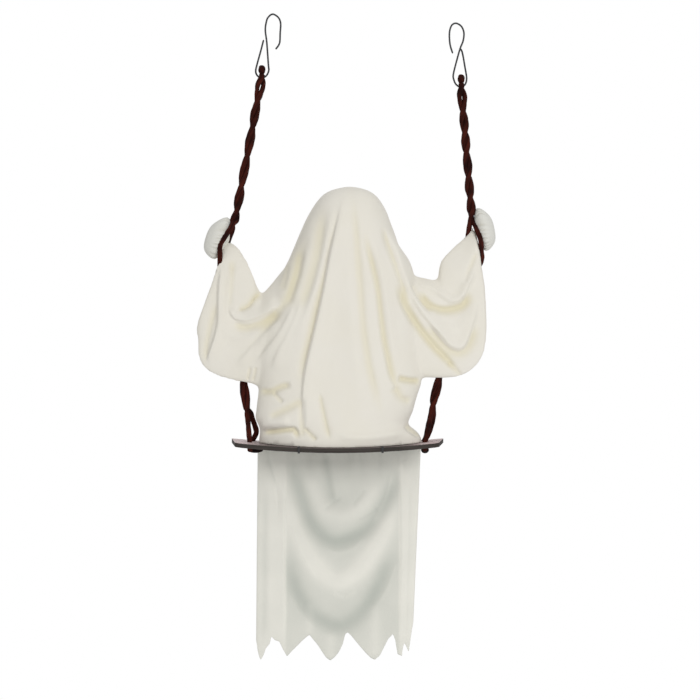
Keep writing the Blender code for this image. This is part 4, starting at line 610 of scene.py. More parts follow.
def felt_finish():
    """Black felt: matted fibres in every direction."""
    finish = Finish("black_felt", Sheen_Weight=0.15, Sheen_Roughness=0.4)
    fibres = finish.noise(1400, 5.0, 0.7)
    cloud = finish.noise(180, 3.0)
    color = finish.blend(cloud.between(0.3, 0.7), (0.006, 0.006, 0.007), (0.018, 0.018, 0.020))
    return finish.surface(color, 0.9 + fibres * 0.08, fibres + cloud * 0.5, 0.3 * MM, 0.9)


def plastic_finish(name, pale, deep, rough):
    """Moulded plastic: a fine spark-eroded grain and a slight mottle."""
    finish = Finish(name)
    grain = finish.noise(1600)
    color = finish.blend(finish.noise(40, 3.0).between(0.3, 0.7), pale, deep)
    return finish.surface(color, rough + grain * 0.12, grain, 0.05 * MM, 0.5)


def steel_finish():
    """Plain drawn wire: grey, with marks along it and dull patches."""
    finish = Finish("arm_steel", Metallic=1.0)
    marks = finish.streaks((300, 2600, 2600))
    dull = finish.noise(70, 4.0).between(0.45, 0.7)
    color = finish.blend(dull, (0.46, 0.46, 0.47), (0.30, 0.295, 0.29))
    return finish.surface(color, 0.28 + marks * 0.2 + dull * 0.2, marks, 0.06 * MM, 0.5)


def filling_finish():
    """White polyester filling: tangled fibres in soft clumps."""
    finish = Finish("stuffing", Sheen_Weight=0.3, Sheen_Roughness=0.7)
    fibres = finish.noise(500, 6.0, 0.7)
    clumps = finish.noise(45, 3.0)
    color = finish.blend(clumps.between(0.3, 0.7), (0.86, 0.86, 0.85), (0.72, 0.72, 0.70))
    return finish.surface(color, 0.95 + fibres * 0.05, fibres * 0.5 + clumps, 1.2 * MM, 0.8)


def add_object(name, data):
    thing = bpy.data.objects.new(name, data)
    bpy.context.scene.collection.objects.link(thing)
    return thing


def mesh_piece(name, points, faces, material=None, smooth=True):
    """An object at the origin from an array of points and a list of faces."""
    mesh = bpy.data.meshes.new(name)
    mesh.from_pydata(np.asarray(points).tolist(), [], faces)
    mesh.update()
    if smooth:
        mesh.shade_smooth()
    if material:
        mesh.materials.append(material)
    return add_object(name, mesh)


def ring_faces(rows, columns):
    """Quads between each two neighbouring rows of a grid that is joined round."""
    row, column = np.meshgrid(np.arange(rows - 1), np.arange(columns), indexing="ij")
    after = (column + 1) % columns
    corners = (row * columns + column, row * columns + after, (row + 1) * columns + after,
               (row + 1) * columns + column)
    return np.stack([corner.ravel() for corner in corners], axis=1)


def closed_loft(name, rings, material=None, valleys=None):
    """A solid over rings: their quads, and at each end a fan of triangles about the ring's mean. Where
    it has grooves, it keeps how deep each point lies in them."""
    rings = np.asarray(rings)
    rows, columns = rings.shape[:2]
    points = np.concatenate([rings.reshape(-1, 3), rings[0].mean(0)[None], rings[-1].mean(0)[None]])
    k = np.arange(columns)
    after, start, first = (k + 1) % columns, (rows - 1) * columns, 0 * k + rows * columns
    fans = np.stack([after, k, first, start + k, start + after, first + 1], axis=1).reshape(-1, 3)
    piece = mesh_piece(name, points, ring_faces(rows, columns).tolist() + fans.tolist(), material)
    face_outwards(piece.data)
    if valleys is not None:
        set_valley(piece.data, np.concatenate([np.ravel(valleys), [0, 0]]))
    return piece


def face_outwards(mesh):
    bm = bmesh.new()
    bm.from_mesh(mesh)
    bmesh.ops.recalc_face_normals(bm, faces=bm.faces)
    bm.to_mesh(mesh)
    bm.free()


def baked(thing):
    """The mesh that an object's modifiers make, on the same object with no modifiers left."""
    bpy.context.view_layer.update()
    depsgraph = bpy.context.evaluated_depsgraph_get()
    mesh = bpy.data.meshes.new_from_object(thing.evaluated_get(depsgraph))
    thing.modifiers.clear()
    thing.data = mesh
    return thing


def walled(thing):
    """The piece with the cloth's thickness, grown inwards."""
    wall = thing.modifiers.new("wall", "SOLIDIFY")
    wall.thickness = CLOTH_THICKNESS
    wall.offset = -1
    return baked(thing)


def points_of(mesh):
    points = np.empty(len(mesh.vertices) * 3)
    mesh.vertices.foreach_get("co", points)
    return points.reshape(-1, 3)


def normals_of(mesh):
    normals = np.empty(len(mesh.vertices) * 3, np.float32)
    mesh.vertex_normals.foreach_get("vector", normals)
    return normals.reshape(-1, 3).astype(float)


def set_points(mesh, points):
    mesh.vertices.foreach_set("co", np.asarray(points, np.float32).ravel())
    mesh.update()


def set_valley(mesh, depth):
    """Keep how deep each point lies in a fold, from 0 to 1, for the painted shade that darkens its colour."""
    layer = mesh.attributes.new("valley", "FLOAT", "POINT")
    layer.data.foreach_set("value", np.clip(depth, 0, 1).astype(np.float32))


def turns(count):
    """Angles evenly round a circle, from 0."""
    return np.linspace(0, 2 * math.pi, count, endpoint=False)


def lengths_along(path):
    """Distance along a path up to each of its points."""
    return np.concatenate([[0], np.cumsum(np.linalg.norm(np.diff(path, axis=0), axis=1))])


def smooth_share(values, low, high):
    """0 below low and 1 above high, with a soft S between them."""
    t = np.clip((values - low) / (high - low), 0, 1)
    return t * t * (3 - 2 * t)


def curve_through(points, count):
    """Points along a Catmull-Rom curve through the given ones, evenly by number."""
    points = np.asarray(points, float)
    ends = np.concatenate([[2 * points[0] - points[1]], points, [2 * points[-1] - points[-2]]])
    at = np.linspace(0, len(points) - 1, count)
    k = np.minimum(at.astype(int), len(points) - 2)
    t = (at - k)[:, None]
    p0, p1, p2, p3 = ends[k], ends[k + 1], ends[k + 2], ends[k + 3]
    return 0.5 * (2 * p1 + (p2 - p0) * t + (2 * p0 - 5 * p1 + 4 * p2 - p3) * t ** 2
                  + (3 * p1 - p0 - 3 * p2 + p3) * t ** 3)


def fold_height(everywhere, line, left, right, rise, power=SOFT):
    """Height of one fold at photograph points: a bell across its line, with one width on its left
    and another on its right, that dies away towards both ends of the line. A lower power makes
    the bell's top a crisp crease."""
    line = np.reshape(line, (-1, 2))
    line = curve_through(line, FOLD_FINENESS * len(line))
    steps = np.diff(line, axis=0)
    lengths = np.linalg.norm(steps, axis=1)
    begins = np.concatenate([[0], np.cumsum(lengths)])
    reach = FOLD_REACH * max(left, right) * MM / PIXEL
    inside = np.all((everywhere > line.min(0) - reach) & (everywhere < line.max(0) + reach), axis=1)
    where = everywhere[inside]
    best = np.full(len(where), np.inf)
    signed = np.zeros(len(where))
    along = np.zeros(len(where))
    for begin, start, step, length in zip(begins, line, steps, lengths):
        offset = where - start
        t = np.clip(offset @ step / length ** 2, 0, 1)
        away = offset - t[:, None] * step
        distance = np.hypot(away[:, 0], away[:, 1])
        nearer = distance < best
        best = np.where(nearer, distance, best)
        side = np.sign(step[0] * offset[:, 1] - step[1] * offset[:, 0])
        signed = np.where(nearer, side, signed)
        along = np.where(nearer, begin + t * length, along)
    share = along / begins[-1]
    fade = smooth_share(share, 0, FOLD_FADE_SHARE) * smooth_share(1 - share, 0, FOLD_FADE_SHARE)
    width = np.where(signed > 0, left, right) * MM / PIXEL
    height = np.zeros(len(everywhere))
    height[inside] = rise * MM * fade * np.exp(-(best / width) ** power)
    return height


def folded(points, normals, toward, folds):
    """How far a set of folds moves each point: their sum, on the side that faces that way."""
    facing = smooth_share(normals[:, 1] * toward, *FACING_SHARES)
    where = in_photo(points)
    total = np.zeros(len(points))
    near = facing > 0
    total[near] = sum(fold_height(where[near], *fold) for fold in folds.values())
    return FOLD_STRENGTH * total * facing


def ripples(points, size, depth):
    """Slow unevenness of hanging cloth: three waves in unlike directions, multiplied in pairs."""
    x, y, z = (points / size).T
    first = np.sin(1.7 * x + 0.9 * z + 1.3) * np.sin(1.1 * y - 1.9 * z + 0.4)
    second = np.sin(2.3 * z - 1.3 * x + 2.2) * np.sin(2.1 * x + 1.7 * y)
    return depth * (first + 0.6 * second)


def body_rings():
    """Rings of the body: superellipses between its two edges, whose front reaches over the lap."""
    rows = curve_through(BODY_ROWS_PX, BODY_RINGS)
    turn = turns(BODY_COLUMNS)
    power = 2 / BODY_SQUARENESS
    across = np.sign(np.sin(turn)) * np.abs(np.sin(turn)) ** power
    forward = -np.sign(np.cos(turn)) * np.abs(np.cos(turn)) ** power
    rings = []
    for y, left, right, deep in rows:
        low, high = place(left, y, ROBE_MIDDLE_DEPTH), place(right, y, ROBE_MIDDLE_DEPTH)
        middle, half = (low + high) / 2, (high[0] - low[0]) / 2
        lap = LAP_REACH * smooth_share(y, LAP_START_PX, BODY_ROWS_PX[-1][0])
        ring = np.stack([middle[0] + half * across,
                         ROBE_MIDDLE_DEPTH + deep * MM * forward + lap * np.clip(forward, 0, 1),
                         np.full(BODY_COLUMNS, middle[2])], axis=1)
        rings.append(ring)
    return rings


def sleeve_rings(edges):
    """Rings of a sleeve, each a flat loop from its top edge down the back and up the front. It is
    thickest at the arm, and its hanging part lies further back."""
    turn = turns(SLEEVE_AROUND)
    down = (1 - np.cos(turn)) / 2
    side = -np.sin(turn)
    lean = SLEEVE_LEAN * smooth_share(down, 0, SLEEVE_LEAN_REACH)
    arm = np.exp(-((down - SLEEVE_ARM_SHARE) / SLEEVE_ARM_REACH) ** 2)
    full = SLEEVE_HANG_SHARE + (1 - SLEEVE_HANG_SHARE) * arm
    bulge = np.sign(side) * np.abs(side) ** SLEEVE_ROUNDNESS * full
    rings = []
    for top_x, top_y, low_x, low_y, half in curve_through(edges, SLEEVE_ALONG):
        line = place(top_x + (low_x - top_x) * down, top_y + (low_y - top_y) * down)
        line[:, 1] = lean + half * MM * bulge
        rings.append(line)
    return rings


def raise_by_seat(mesh, share):
    """Move each point up by a share of the height that the hem has over the seat there."""
    points = points_of(mesh)
    points[:, 2] += share * (board_top(points[:, 0], points[:, 1]) + HEM_CLEARANCE)
    set_points(mesh, points)


def trim_to_seat(mesh):
    """Cut the robe off just above the seat: level the seat's bow out, cut flat, and put it back."""
    raise_by_seat(mesh, -1)
    bm = bmesh.new()
    bm.from_mesh(mesh)
    bmesh.ops.bisect_plane(bm, geom=bm.verts[:] + bm.edges[:] + bm.faces[:], plane_co=(0, 0, 0),
                           plane_no=(0, 0, 1), clear_inner=True)
    bm.to_mesh(mesh)
    bm.free()
    raise_by_seat(mesh, 1)


def robe_folds(points, normals):
    """How far the robe's folds move each of its points, those of its back and of its front."""
    return folded(points, normals, -1, BACK_FOLDS) + folded(points, normals, 1, FRONT_FOLDS)


def make_robe(material):
    """Body and sleeves as one skin, smoothed where they meet, then folded and given its wall."""
    joined = bmesh.new()
    for rings in (body_rings(), sleeve_rings(LEFT_SLEEVE_PX), sleeve_rings(RIGHT_SLEEVE_PX)):
        part = closed_loft("robe_part", rings)
        joined.from_mesh(part.data)
        bpy.data.objects.remove(part)
    robe = mesh_piece("ghost_robe", [], [])
    joined.to_mesh(robe.data)
    joined.free()
    remesh = robe.modifiers.new("one_skin", "REMESH")
    remesh.mode = "VOXEL"
    remesh.voxel_size = ROBE_VOXEL
    remesh.use_smooth_shade = True
    relax = robe.modifiers.new("relax", "SMOOTH")
    relax.factor = 0.5
    relax.iterations = ROBE_SMOOTHING
    finer = robe.modifiers.new("finer", "SUBSURF")
    finer.levels = finer.render_levels = 1
    robe = baked(robe)
    points, normals = points_of(robe.data), normals_of(robe.data)
    points += normals * (robe_folds(points, normals) + ripples(points, *ROBE_RIPPLES))[:, None]
    set_points(robe.data, points)
    trim_to_seat(robe.data)
    thinned = robe.modifiers.new("thinned", "DECIMATE")
    thinned.ratio = min(ROBE_TRIANGLES / sum(len(face.vertices) - 2 for face in robe.data.polygons), 1.0)
    robe = baked(robe)
    # how deep the cloth lies in its folds, for the painted shade in its creases
    height = robe_folds(points_of(robe.data), normals_of(robe.data))
    set_valley(robe.data, -height / ROBE_VALLEY_DEPTH)
    robe = walled(robe)
    robe.data.shade_smooth()
    robe.data.materials.clear()
    robe.data.materials.append(material)
    return robe


def make_stuffing(material):
    """The body's stuffing: the body's own rings drawn in from the robe, with slow lumps, from the
    padding's foot to its top, and round the upright tube a bore back down again."""
    low, high = (np.array(corner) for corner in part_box("torso_padding"))
    tube_low, tube_high = (np.array(corner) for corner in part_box("spine_tube"))
    tube, bore = (tube_low + tube_high) / 2, (tube_high[0] - tube_low[0]) / 2 + STUFFING_CLEARANCE
    rings = [ring for ring in body_rings()[::-1]
             if low[2] + STUFFING_FOOT < ring[0, 2] < high[2] - STUFFING_TOP]
    turn = turns(BODY_COLUMNS)
    outer = []
    for k, ring in enumerate(rings):
        end = min(k, len(rings) - 1 - k) / STUFFING_ROUNDED_RINGS
        rounded = math.sqrt(1 - (1 - min(end, 1)) ** 2)
        full = STUFFING_SHARE * (STUFFING_END_SHARE + (1 - STUFFING_END_SHARE) * rounded)
        waves = np.sin(3 * turn + 0.4 * k) * np.sin(2 * turn - 0.3 * k)
        lump = full * (1 - STUFFING_LUMP_SHARE * (1 + waves))
        middle = ring.mean(0)
        outer.append(middle + (ring - middle) * lump[:, None] * (1, STUFFING_DEPTH_SHARE, 1))
    loop = np.stack([tube[0] + bore * np.sin(turn), tube[1] - bore * np.cos(turn)], axis=1)
    inner = [np.column_stack([loop, np.full(len(turn), ring[0, 2])]) for ring in outer[::-1]]
    points = np.concatenate(outer + inner)
    faces = ring_faces(2 * len(rings) + 1, BODY_COLUMNS) % len(points)
    stuffing = mesh_piece("body_stuffing", points, faces.tolist(), material)
    face_outwards(stuffing.data)
    return stuffing


def make_skirt(material):
    """A flat tube of cloth: the near layer, the far layer and the two side folds between them, over
    a grid of turns round it and rows down it, whose rows end in the cut hem."""
    turn = turns(2 * SKIRT_ACROSS)
    u = (1 - np.cos(turn)) / 2
    u = u + SKIRT_EVENNESS * np.sin(2 * math.pi * u) / (2 * math.pi)
    near = np.sin(turn) >= 0
    side = -np.sign(np.sin(turn)) * np.abs(np.sin(turn)) ** SKIRT_FLATNESS
    left_top, right_top, top_y = SKIRT_TOP_PX
    left_hem, right_hem = SKIRT_HEM_PX
    left_side, right_side = SKIRT_SIDES_PX
    hem_x = left_hem + (right_hem - left_hem) * u
    hem_y = np.interp(hem_x, *np.transpose(HEM_POINTS_PX)) - np.where(near, 0, FAR_HEM_RISE_PX)
    least, sheer_from, sheer_full = SKIRT_SHEER_SHADE_START
    rows, depths = [], []
    for share in np.linspace(0, 1, SKIRT_DOWN):
        x = left_top + (right_top - left_top) * u
        x = x + (hem_x - x) * share
        y = top_y + (hem_y - top_y) * share
        points = place(x, y, SKIRT_DEPTH_PLACE)
        hold = 1 - smooth_share(share, 0, SKIRT_HOLD_SHARE)
        top = board_top(points[:, 0], BOARD_HIGH[1]) - SKIRT_TOP_DROP
        points[:, 1] += hold * (BOARD_HIGH[1] + SKIRT_TOP_STAND - SKIRT_DEPTH_PLACE)
        points[:, 2] += hold * (top - place(0, top_y, SKIRT_DEPTH_PLACE)[2])
        gap = SKIRT_OPENING / 2 * smooth_share(share, 0, SKIRT_OPEN_SHARE) + CLOTH_THICKNESS
        where = np.stack([x, y], axis=1)
        fold = sum(fold_height(where, *one) for one in SKIRT_FOLDS.values())
        pleats = sum(np.exp(-((x - pleat) / SKIRT_PLEAT_WIDTH_PX) ** 2) for pleat in SKIRT_PLEATS_PX)
        gather = -SKIRT_PLEAT * pleats * (1 - smooth_share(share, 0, SKIRT_PLEAT_REACH))
        swell = np.sin(math.pi * u) ** 0.5
        points[:, 1] += side * gap - (fold + gather) * swell
        points[:, 1] += ripples(points, *SKIRT_RIPPLES) * smooth_share(share, 0, SKIRT_RIPPLE_START)
        rows.append(points)
        # painted shade: a base share, the single sheer layer showing the shade inside (less at the top), and
        # the valleys of folds and pleats
        sheer_shade = smooth_share(x, left_side, left_side + SKIRT_SHEER_EDGE_PX)
        sheer_shade *= smooth_share(-x, -right_side, SKIRT_SHEER_EDGE_PX - right_side)
        sheer_shade *= least + (1 - least) * smooth_share(share, sheer_from, sheer_full)
        deep = (fold + gather / 3) / SKIRT_VALLEY_DEPTH * np.where(near, 1, -1)
        depths.append(SKIRT_SHADE_BASE + SKIRT_SHEER_SHADE * sheer_shade - deep)
    faces = ring_faces(SKIRT_DOWN, 2 * SKIRT_ACROSS)
    skirt = mesh_piece("ghost_skirt", np.concatenate(rows), faces.tolist(), material)
    set_valley(skirt.data, np.concatenate(depths))
    face_outwards(skirt.data)
    return walled(skirt)


def make_hand(name, side, face, tilt, length, material):
    """A stuffed pouch: rings about its axis, tight at its gathered face, whose gathers fade outwards."""
    axis = np.array([side * math.cos(tilt * HAND_AXIS_SHARE), 0, math.sin(tilt * HAND_AXIS_SHARE)])
    up = np.array([-side * math.sin(tilt), 0, math.cos(tilt)])
    across = np.array([0, 1, 0])
    turn = turns(HAND_AROUND)
    warped = turn + 0.16 * np.sin(3 * turn + 0.7 * side) + 0.1 * np.sin(5 * turn + 1.9)
    pleat = np.abs(np.cos(HAND_GATHERS * warped / 2)) ** 0.6
    rings, valleys = [], []
    for along, high, deep in curve_through(HAND_PROFILE, HAND_ALONG):
        high, deep = max(high, HAND_LEAST_SHARE), max(deep, HAND_LEAST_SHARE)
        fade = np.exp(-((along - HAND_GATHER_MIDDLE) / HAND_GATHER_REACH) ** 2)
        wave = 1 - HAND_GATHER_SHARE * fade * (1 - pleat)
        lump = 1 + 0.02 * np.sin(2 * turn + 4 * along)
        oval = (np.cos(turn)[:, None] * up * high * HAND_HEIGHT
                + np.sin(turn)[:, None] * across * deep * HAND_DEPTH)
        rings.append(face + axis * length * along + oval * (wave * lump)[:, None])
        # how deep each gather lies, for painted shade in the gathers
        valleys.append(fade * (1 - pleat))
    return closed_loft(name, rings, material, valleys)


def swept(name, path, sideways, profile, material, valley=None):
    """A surface swept along a path: at each point the profile's loop of (sideways, outwards) pairs,
    square to the path, with sideways the given direction made square to it."""
    tangent = np.gradient(path, axis=0)
    tangent /= np.linalg.norm(tangent, axis=1)[:, None]
    sideways = sideways - np.sum(sideways * tangent, axis=1)[:, None] * tangent
    sideways /= np.linalg.norm(sideways, axis=1)[:, None]
    outwards = np.cross(tangent, sideways)
    rings = path[:, None] + profile[..., :1] * sideways[:, None] + profile[..., 1:] * outwards[:, None]
    return closed_loft(name, rings, material, valley)


def flat(pair):
    """An (x, z) pair as a place in the rope plane."""
    return np.array([pair[0], 0, pair[1]])


def make_hook(name, crown, shares, lift, material):
    """A bent wire: a circle swept along its outline, with ends rounded like a file-dressed cut."""
    shares = curve_through(shares, WIRE_POINTS)
    path = crown + HOOK_HEIGHT * np.stack([shares[:, 0], 0 * shares[:, 0], -shares[:, 1]], axis=1)
    path[:, 1] += HOOK_CROSSING * np.interp(np.linspace(0, 1, WIRE_POINTS), *lift)
    length = lengths_along(path)
    end = np.minimum(length, length[-1] - length) / (WIRE_DIAMETER / 2)
    radius = WIRE_DIAMETER / 2 * np.sqrt(np.clip(1 - (1 - np.clip(end, 0, 1)) ** 2, WIRE_TIP_SHARE, 1))
    turn = turns(WIRE_COLUMNS)
    profile = radius[:, None, None] * np.stack([np.cos(turn), np.sin(turn)], axis=1)
    sideways = np.tile(np.array([0.0, 1.0, 0.0]), (WIRE_POINTS, 1))
    return swept(name, path, sideways, profile, material)


def smooth_path(points, rounding, step, half=5):
    """A route with its corners rounded: laid out finely, averaged twice over the rounding with its
    ends held, and read again at about every step. Extra columns are rounded alike."""
    points = np.asarray(points, float)
    way = lengths_along(points[:, :3])
    fine = max(int(way[-1] / (rounding / (2 * half))), 20)
    at = np.linspace(0, way[-1], fine)
    path = np.stack([np.interp(at, way, column) for column in points.T], axis=1)
    for _ in range(2):
        padded = np.concatenate([2 * path[0] - path[half:0:-1], path, 2 * path[-1] - path[-2:-half - 2:-1]])
        path = np.mean([padded[k:k + fine] for k in range(2 * half + 1)], axis=0)
    way = lengths_along(path[:, :3])
    at = np.linspace(0, way[-1], max(int(round(way[-1] / step)), 4) + 1)
    return np.stack([np.interp(at, way, column) for column in path.T], axis=1)


def rope_rows(eye, turn, wrist, hole, crossings, split_share):
    """The pair of strands from over the hook's wire to the knot under the seat: rows of middle,
    half spread and half turns."""
    down = (turn - eye) / np.linalg.norm(turn - eye)
    side = HOLE_DEPTH_SPAN / 2
    rows = [(*(eye + flat((0, EYE_STAND))), EYE_SPREAD), (*eye, EYE_SPREAD),
            (*(eye + down * STRAND_DIAMETER), EYE_SPREAD),
            (*(eye + down * 3 * STRAND_DIAMETER), PAIR_SPREAD), (*turn, PAIR_SPREAD)]
    ways = [(way, forward, 0.0) for way, forward in LOWER_WAYS]
    ways += [(split_share + (1 - split_share) * share, forward, spread)
             for share, forward, spread in SPLIT_WAYS]
    for way, forward, spread in ways:
        middle = wrist + (hole - wrist) * way + np.array([0, ROPE_FORWARD * forward, 0])
        rows.append((*middle, PAIR_SPREAD + (side - PAIR_SPREAD) * spread))
    low = hole[2] - BOARD_THICKNESS - STRAND_HEIGHT / 2 - UNDER_CLEARANCE
    rows.append((hole[0], 0, low + STRAND_BEND, side))
    bend = [(hole[0], 0, low + STRAND_BEND * (1 - math.sin(t)), side - STRAND_BEND * (1 - math.cos(t)))
            for t in np.linspace(0.1, 1, STRAND_BEND_ROWS) * math.pi / 2]
    tail = [(hole[0], 0, low, stop)
            for stop in np.linspace(side - STRAND_BEND - MM, KNOT_HALF - MM, STRAND_BEND_ROWS)]
    rows = np.concatenate([smooth_path(rows, STRAND_ROUNDING, STRAND_STEP), np.array(bend + tail)])
    return np.column_stack([rows, np.interp(in_photo(rows)[:, 1], *crossings)])


def rerouted(path, sideways, way):
    """A strand that leaves its pair for a way of its own: the path down to the way's first point, a
    smooth curve through its points, and the path again from below its last. What points sideways
    turns evenly between the two."""
    way = [place(px, py, forward * MM) for px, py, forward in way]
    first = np.argmax(path[:, 2] < way[0][2] + REROUTE_GAP)
    last = np.argmax(path[:, 2] < way[-1][2] - REROUTE_GAP)
    stops = np.array([path[first - REROUTE_ROWS], path[first], *way, path[last], path[last + REROUTE_ROWS]])
    count = 10 * len(stops)
    curve = curve_through(stops, count)
    at = np.linspace(0, len(stops) - 1, count)
    own = (at > 1) & (at < len(stops) - 2)
    share = ((at[own] - 1) / (len(stops) - 3))[:, None]
    turning = sideways[first] * (1 - share) + sideways[last] * share
    return (np.concatenate([path[:first], curve[own], path[last:]]),
            np.concatenate([sideways[:first], turning, sideways[last:]]))


def make_strand(name, rows, far, ways, material):
    """One strand: a soft strip rolled into a flattened cord that turns with its pair. Its section is
    an oval with a few rolled-in creases that wander as it goes, and it swells and thins."""
    angle = rows[:, 4] * math.pi + (math.pi if far else 0)
    offset = np.stack([np.cos(angle), -np.sin(angle), 0 * angle], axis=1)
    path = rows[:, :3] + rows[:, 3:4] * offset
    for way in ways:
        path, offset = rerouted(path, offset, way)
    along = lengths_along(path)[:, None]
    turn = turns(STRAND_COLUMNS)
    seed = 1.7 * far + 40 * path[0, 0]
    roll = along * STRAND_ROLL + seed
    crease = sum(np.exp(-(np.sin(turn * times + roll * drift) / width) ** 2) * depth
                 for times, drift, width, depth in STRAND_CREASES)
    swell = 1 + sum(share * np.sin(along * pace + seeds * seed) for share, pace, seeds in STRAND_SWELLS)
    share = swell * (STRAND_FULL - crease)
    profile = np.stack([share * np.cos(turn) * STRAND_WIDTH / 2, share * np.sin(turn) * STRAND_HEIGHT / 2],
                       axis=-1)
    # the creases' depth darkens the rope's colour as painted shade
    return swept(name, path, offset, profile, material, crease / CREASE_DEPTH)


def make_top_knot(name, eye, material):
    """The rope's knot over the wire: an egg with the grooves of its windings round it."""
    turn = turns(KNOT_COLUMNS)
    wide, deep, high = TOP_KNOT_HALF
    rings, valleys = [], []
    for t in np.linspace(-0.5, 0.5, TOP_KNOT_ROWS) * math.pi:
        winding = np.abs(np.sin(1.5 * turn + 2.2 * t + 0.6)) ** 0.5
        lump = 1 - WINDING_SHARE + WINDING_SHARE * winding
        x = eye[0] + wide * math.cos(t) ** 0.7 * np.cos(turn) * lump
        y = eye[1] + deep * math.cos(t) ** 0.6 * np.sin(turn) * lump
        z = eye[2] + TOP_KNOT_RISE + high * math.sin(t) + TOP_KNOT_SKEW * np.sin(turn * 2 + 1)
        rings.append(np.stack([x, y, z], axis=1))
        # the windings' grooves get painted shade
        valleys.append(1 - winding)
    return closed_loft(name, rings, material, valleys)


def make_seat_knot(name, middle, size, material):
    """The knot under the seat: a lump with three windings round it, drawn up to the board."""
    turn = turns(KNOT_COLUMNS)
    rings, valleys = [], []
    for t in np.linspace(-0.5, 0.5, SEAT_KNOT_ROWS) * math.pi:
        winding = np.abs(np.sin(2.6 * t + 0.5 * np.sin(turn))) ** 0.5
        lump = 1 - WINDING_SHARE + WINDING_SHARE * winding
        x = size[0] * math.cos(t) ** 0.5 * np.cos(turn) * lump
        z = size[2] * math.cos(t) ** 0.5 * np.sin(turn) * lump
        rings.append(middle + np.stack([x, 0 * turn + size[1] * math.sin(t), z], axis=1))
        # the windings' grooves get painted shade
        valleys.append(1 - winding)
    return closed_loft(name, rings, material, valleys)


def make_patch(name, size, x, drop, robe_tree, material):
    """A felt oval laid on the hood: a grid of rings and turns dropped on to the cloth from the
    front, with a rounded rim, a level face and its own thickness."""
    turn = turns(FELT_COLUMNS)
    crown = place(0, BODY_ROWS_PX[0][0])[2]
    outwards = np.linspace(FELT_MIDDLE_SHARE, 1, FELT_ROWS)
    profile = [(share, 0.0) for share in outwards]
    profile += [(1 + FELT_BULGE * math.sin(t), (1 - math.cos(t)) / 2)
                for t in np.linspace(0, math.pi, FELT_RIM_ROWS)[1:-1]]
    profile += [(share, 1.0) for share in outwards[::-1]]
    rings = []
    for share, lift in profile:
        px = x + size[0] / 2 * share * np.cos(turn)
        pz = crown - drop + size[1] / 2 * share * np.sin(turn)
        depth = [robe_tree.ray_cast((a, 1.0, b), (0, -1, 0))[0].y for a, b in zip(px, pz)]
        rings.append(np.stack([px, np.array(depth) + FELT_LIFT + FELT_THICKNESS * lift, pz], axis=1))
    return closed_loft(name, rings, material)


def stand_in(piece, slot, *nodes, body=None):
    """Let a piece stand in for nodes of the model, perhaps with a body to ride; its slot is not used."""
    if body:
        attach(piece, body)
    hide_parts(*nodes)


def make_ropes(rope, shaded_knot_rope):
    """Both ropes: two strands that bend where the figure tips, and a knot at each end."""
    for name, way in (("left", -1), ("right", 1)):
        side = ROPES[name]
        hole = np.array([SEAT[0] + way * HOLE_SPAN / 2, 0, 0])
        hole[2] = board_top(hole[0], hole[1])
        eye = np.array(HOOKS[name][0]) + HOOK_HEIGHT * flat(side["eye"])
        turn = eye + flat(side["upper"])
        rows = rope_rows(eye, turn, turn + flat(side["wrist"]), hole, side["crossings"], side["split"])
        for far, letter, ways in ((False, "a", (side["neck"], side["seat"])), (True, "b", (side["plain"],))):
            strand = make_strand(f"{name}_rope_strand_{letter}", rows, far, ways, rope)
            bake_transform(strand)
            stand_in(strand, "rope_cloth", f"{name}_upper_strand_{letter}", f"{name}_lower_strand_{letter}")
        top_knot = make_top_knot(f"{name}_rope_knot", eye, rope)
        stand_in(top_knot, "rope_cloth", f"{name}_top_knot", body="upper_ropes")
        inward, size = side["knot"]
        top = board_top(hole[0] + inward, 0) - BOARD_THICKNESS - UNDER_CLEARANCE
        middle = np.array([hole[0] + inward, 0, top - size[2]])
        # the knot under the seat takes the darker copy of the rope's colours, painted shade under the board
        seat_knot = make_seat_knot(f"{name}_seat_knot", middle, size, shaded_knot_rope)
        stand_in(seat_knot, "rope_cloth", f"{name}_bottom_knot", body="figure")


def make_stage():
    """A round pale floor that keeps the shadow, and looks about white where it is in the open."""
    finish = Finish("studio_floor", Roughness=1.0, Base_Color=(0.9, 0.9, 0.9), Emission_Strength=FLOOR_GLOW,
                    Specular_IOR_Level=0.0)
    camera_sees = finish.node("ShaderNodeLightPath", {}, {}, "Is Camera Ray")
    finish.feed(finish.shader.inputs["Emission Color"], finish.blend(camera_sees, (0, 0, 0), (1, 1, 1)))
    turn = turns(FLOOR_COLUMNS)
    rim = np.stack([SEAT[0] + FLOOR_RADIUS * np.cos(turn), FLOOR_RADIUS * np.sin(turn), 0 * turn + FLOOR],
                   axis=1)
    mesh_piece("floor", rim, [list(range(FLOOR_COLUMNS))], finish.material, False)


def make_camera():
    """The photograph's camera: behind the ghost, level with the photograph's middle."""
    middle = place(*PHOTO_MIDDLE_PX)
    data = bpy.data.cameras.new("camera")
    data.sensor_width = SENSOR
    data.lens = SENSOR * CAMERA_DISTANCE / (PHOTO_WIDTH_PX * PIXEL)
    camera = add_object("camera", data)
    camera.location = (middle[0], -CAMERA_DISTANCE, middle[2])
    camera.rotation_euler = (math.pi / 2, 0, 0)
    bpy.context.scene.camera = camera


